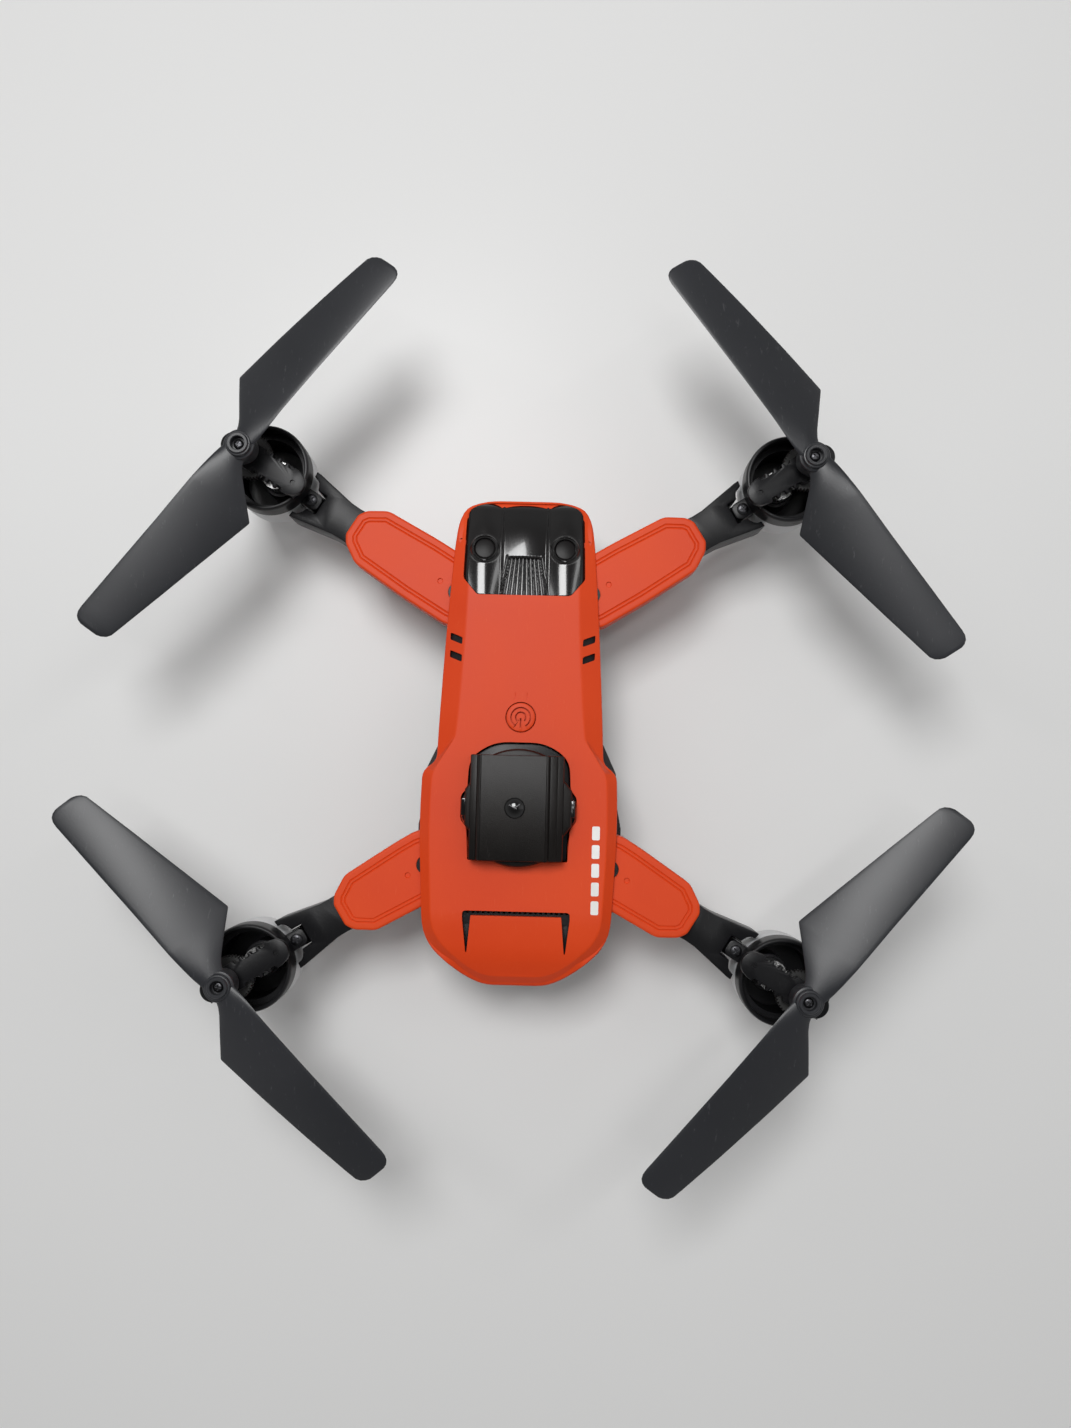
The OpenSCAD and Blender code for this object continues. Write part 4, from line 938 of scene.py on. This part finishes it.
def buildPod(key):
    at = cornerMatrix(key)
    body = key + "_arm"
    off = plan["podOffset"]
    r, ri, top, low, rim, waist = (pod[name] for name in ("radius", "inner", "top", "floor", "rim", "waist"))
    plate = low + pod["plate"]
    ring = turned([(0.01, low), (r - waist - 0.2, low), (r - waist, low + 0.2), (r - waist, rim),
                   (r - 0.2, rim),
                   (r, rim + 0.2), (r, top - 1.2), (r - 0.12, top - 0.45), (r - 0.42, top - 0.08),
                   (r - 0.7, top),
                   (ri + 0.25, top - 0.02), (ri, top - 0.25), (ri, rim + 1.2), (ri - waist, rim + 1.2),
                   (ri - waist, plate + 0.3), (ri - waist - 0.3, plate), (0.01, plate)], 128, (off, 0))
    drum = addMesh("drum_" + key, *ring, black, body, "black_plastic", 35, at)
    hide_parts(key + "_pod")
    foot = plate - 0.1
    socket = [(4.3, foot), (4.3, 30.9), (4.45, 31.05), (5.2, 31.05), (5.35, 30.9), (5.35, foot)]
    socket = turned(socket, 64, (pod["motorAt"], 0), closed=True)
    addMesh("socket_" + key, *socket, black, body, "black_plastic", 35, at)
    post = turned([(0.81, foot), (0.81, 37.4), (1.9, 37.4), (2.1, 37.2), (2.1, foot)], 48, closed=True)
    addMesh("post_" + key, *post, black, body, "black_plastic", 35, at)
    addMesh("web_" + key, *slab(rounded(pod["web"], 0.1, 2), foot, 33, 0.1), black, body, "black_plastic",
            35, at)
    lug = rounded(pod["lug"], [0.1, 0.8, 0.8, 0.8, 0.8, 0.1], 3)
    addMesh("lug_" + key, *slab(lug, 24.0, 30.0, 0.35), black, body, "black_plastic", 40, at)
    # frosted lamp cup under the drum, with a notch for the lug
    cup = turned(pod["cup"], 128, (off, 0))
    lamp = addMesh("lampCup_" + key, *cup, lens, body, "lamp_lens", 60)
    cut(lamp, boxMesh(14, 20, -2.7, 2.7, 23.9, 32))
    lamp.data.transform(at)
    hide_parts(key + "_lamp")
    print("pod done:", key)


bridge = {"half": 4.0, "low": 41.0, "high": 43.2, "notch": 0.95, "pitch": 2.7, "first": 3.6, "count": 4,
          "endAt": 15.4, "outerAt": -5, "pin": 0.82, "footHalf": 3.4, "footLow": 36.9, "footHigh": 41.1}


def buildBridge(key):
    at = cornerMatrix(key)
    body = key + "_arm"
    h, d, end, out = bridge["half"], bridge["notch"], bridge["endAt"], bridge["outerAt"]
    side = [(out, h - 0.1)]
    for i in range(bridge["count"]):
        u = bridge["first"] + i * bridge["pitch"]
        side += [(u, h), (u + 0.35, h - d), (u + 1.75, h - d), (u + 2.1, h)]
    side += [(end - 0.2, h - 0.15)]
    turns = [math.pi * i / 20 for i in range(1, 10)]
    inner = [(end + 3.65 * math.sin(a), 3.65 * math.cos(a)) for a in turns] + [(end + 3.65, 0.05)]
    outerEnd = [(out - 3.6 * math.sin(a), 3.6 * math.cos(a)) for a in reversed(turns)]
    loop = bothEdges([(out - 3.6, 0.05)] + outerEnd + side + inner)
    bar = addMesh("bar_" + key, *slab(loop, bridge["low"], bridge["high"], 0.28), black, body,
                  "black_plastic", 35)
    pin = bridge["pin"]
    cut(bar, turned([(0, 30), (pin, 30), (pin, 50), (0, 50)], 32),
        turned([(0, 42.75), (0.6, 42.75), (0.75, 43.5), (0, 43.5)], 32, (end, 0)))
    bar.data.transform(at)
    # feet on the rim of the drum
    off, n = plan["podOffset"], 12
    spread = math.asin(bridge["footHalf"] / pod["radius"])
    for a0 in (0.0, math.pi):
        arc = [a0 - spread + 2 * spread * i / n for i in range(n + 1)]
        foot = [(off + 12.5 * math.cos(a), 12.5 * math.sin(a)) for a in arc]
        foot += [(off + 11.45 * math.cos(a), 11.45 * math.sin(a)) for a in reversed(arc)]
        skin = slab(foot, bridge["footLow"], bridge["footHigh"], 0.1)
        addMesh("foot_" + key, *skin, black, body, "black_plastic", 35, at)
    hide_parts(key + "_bridge")


# one blade along +X; its leading and trailing edges, pitch and thickness go by the radius
prop = {"z": 50.8, "twistLine": 2.6, "sections": 40, "points": 24, "root": 2.4, "tipFrom": 62.0,
        "rootCorner": [14.8, 15.3, 15.7, 16.2], "tip": [63.0, 63.6, 64.2, 64.8, 65.2, 65.6, 65.85, 66.0],
        "lead": [(2.4, -3.3), (5, -3.7), (9, -3.95), (15.6, -4.2), (30, -4.7), (47, -5.5), (62, -6.2),
                 (63.6, -6.1),
                 (64.8, -5.6), (65.6, -4.7), (66, -3.6)],
        "trail": [(2.4, 3.3), (5, 4.4), (7, 6.2), (14.8, 13.5), (15.3, 13.95), (15.7, 14.1), (16.2, 14.05),
                  (30, 11.5), (47, 8.2), (61, 5.3), (63.6, 4.7), (64.8, 3.9), (65.6, 2.7), (66, 1.5)],
        "pitch": [(2.4, 11), (7, 16.5), (12.6, 20.9), (15.6, 22), (30, 18.5), (47, 14.5), (62.4, 11),
                  (66, 11)],
        "thick": [(2.4, 1.6), (12.6, 1.3), (30, 1.1), (47, 0.95), (62.4, 0.8), (65.2, 0.6), (66, 0.35)],
        "hub": [(0.001, 46.2), (3.6, 46.2), (4.1, 46.5), (4.3, 47.0), (4.3, 51.7), (4.15, 51.95),
                (3.75, 52.1),
                (3.62, 52.2), (3.5, 52.75), (3.3, 52.95), (3.05, 53.0), (2.95, 53.1), (2.85, 53.45),
                (2.7, 53.6),
                (2.1, 53.6), (1.92, 53.45), (1.9, 51.6), (0.001, 51.6)],
        "stands": {"front_left": 53.7, "front_right": 124.8, "rear_left": 131.7, "rear_right": 52.1},
        "clockwise": ("front_left", "rear_right")}


def bladeSection(r):
    lead, trail = along(prop["lead"], r), along(prop["trail"], r)
    a = math.radians(eased(prop["pitch"], r))
    t = along(prop["thick"], r)
    mid, w = (lead + trail) / 2, (trail - lead) / 2
    out = []
    for i in range(prop["points"]):
        c = 2 * math.pi * i / prop["points"]
        across = -w * math.cos(c)
        s = (across / w + 1) / 2
        fullness = math.sqrt(max(s, 0)) * (1 - s) ** 0.75 * 1.35 + 0.04 * s
        camber = 0.35 * t * (1 - (across / w) ** 2)
        side = t * 0.62 if math.sin(c) > 0 else -t * 0.42
        up = camber + side * fullness * (1.0 if abs(math.sin(c)) > 0.01 else 0.0)
        twisted = (mid + across - prop["twistLine"]) * math.tan(a)
        out.append((r, mid + across + up * math.sin(a), prop["z"] + up * math.cos(a) - twisted))
    return out


def buildPropeller(key):
    sx, sy = corners[key]
    hubPlace = Matrix.Translation((sx * plan["hubX"] * mm, sy * plan["hubY"] * mm, 0))
    where = hubPlace @ Matrix.Rotation(math.radians(prop["stands"][key]), 4, "Z")
    root, k = prop["root"], prop["sections"] - 8
    rs = sorted([root + (prop["tipFrom"] - root) * (i / k) for i in range(k + 1)] + prop["rootCorner"] + prop["tip"])
    one = loft([bladeSection(r) for r in rs])
    blades = [moved(one, Matrix.Rotation(a, 4, "Z")) for a in (0, math.pi)]
    for n, mesh in enumerate(blades + [turned(prop["hub"], 72)]):
        if key not in prop["clockwise"]:
            mesh = moved(mesh, Matrix.Scale(-1, 4, (0, 1, 0)))
        name = ("blade%d_" % n if n < 2 else "hub_") + key
        smooth = 50 if n < 2 else 30
        obj = addMesh(name, *mesh, bladeGrey, key + "_rotor", "propeller_plastic", smooth, where)
        if n == 2:
            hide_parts(key + "_propeller")
    turnZ = math.radians(20 + 31 * sx)
    screwMesh(key + "_hub_screw", (sx * plan["hubX"], sy * plan["hubY"]), screws["hub"], key + "_rotor",
              turnZ)


# height under the head and radius of each screw
screws = {"hub": (51.6, 1.4), "fork": (30.0, 1.7), "forkAt": 18.7, "forkTurn": 0.6}


# domed screw head with a cross pressed in
def screwMesh(node, at, size, body, turnZ):
    z, r = size
    profile = [(0.001, z - 2.6), (r * 0.4, z - 2.6), (r * 0.42, z), (r * 0.92, z), (r, z + 0.12),
               (r, z + 0.45),
               (r * 0.82, z + 0.74), (r * 0.5, z + 0.87), (0.001, z + 0.9)]
    screw = addMesh("screw_" + node, *turned(profile, 40), darkSteel, body, "dark_steel", 40)
    w, l = r * 0.14, r * 0.66
    cut(screw, boxMesh(-l, l, -w, w, z + 0.45, z + 2), boxMesh(-w, w, -l, l, z + 0.45, z + 2))
    screw.data.transform(Matrix.Translation((at[0] * mm, at[1] * mm, 0)) @ Matrix.Rotation(turnZ, 4, "Z"))
    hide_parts(node)


for key in corners:
    buildArm(key)
    buildPod(key)
    buildBridge(key)
    buildPropeller(key)
    spot = cornerMatrix(key) @ Vector((screws["forkAt"] * mm, 0, 0))
    screwMesh(key + "_fork_screw", (spot.x / mm, spot.y / mm), screws["fork"], key + "_arm",
              screws["forkTurn"])
print("arms done")
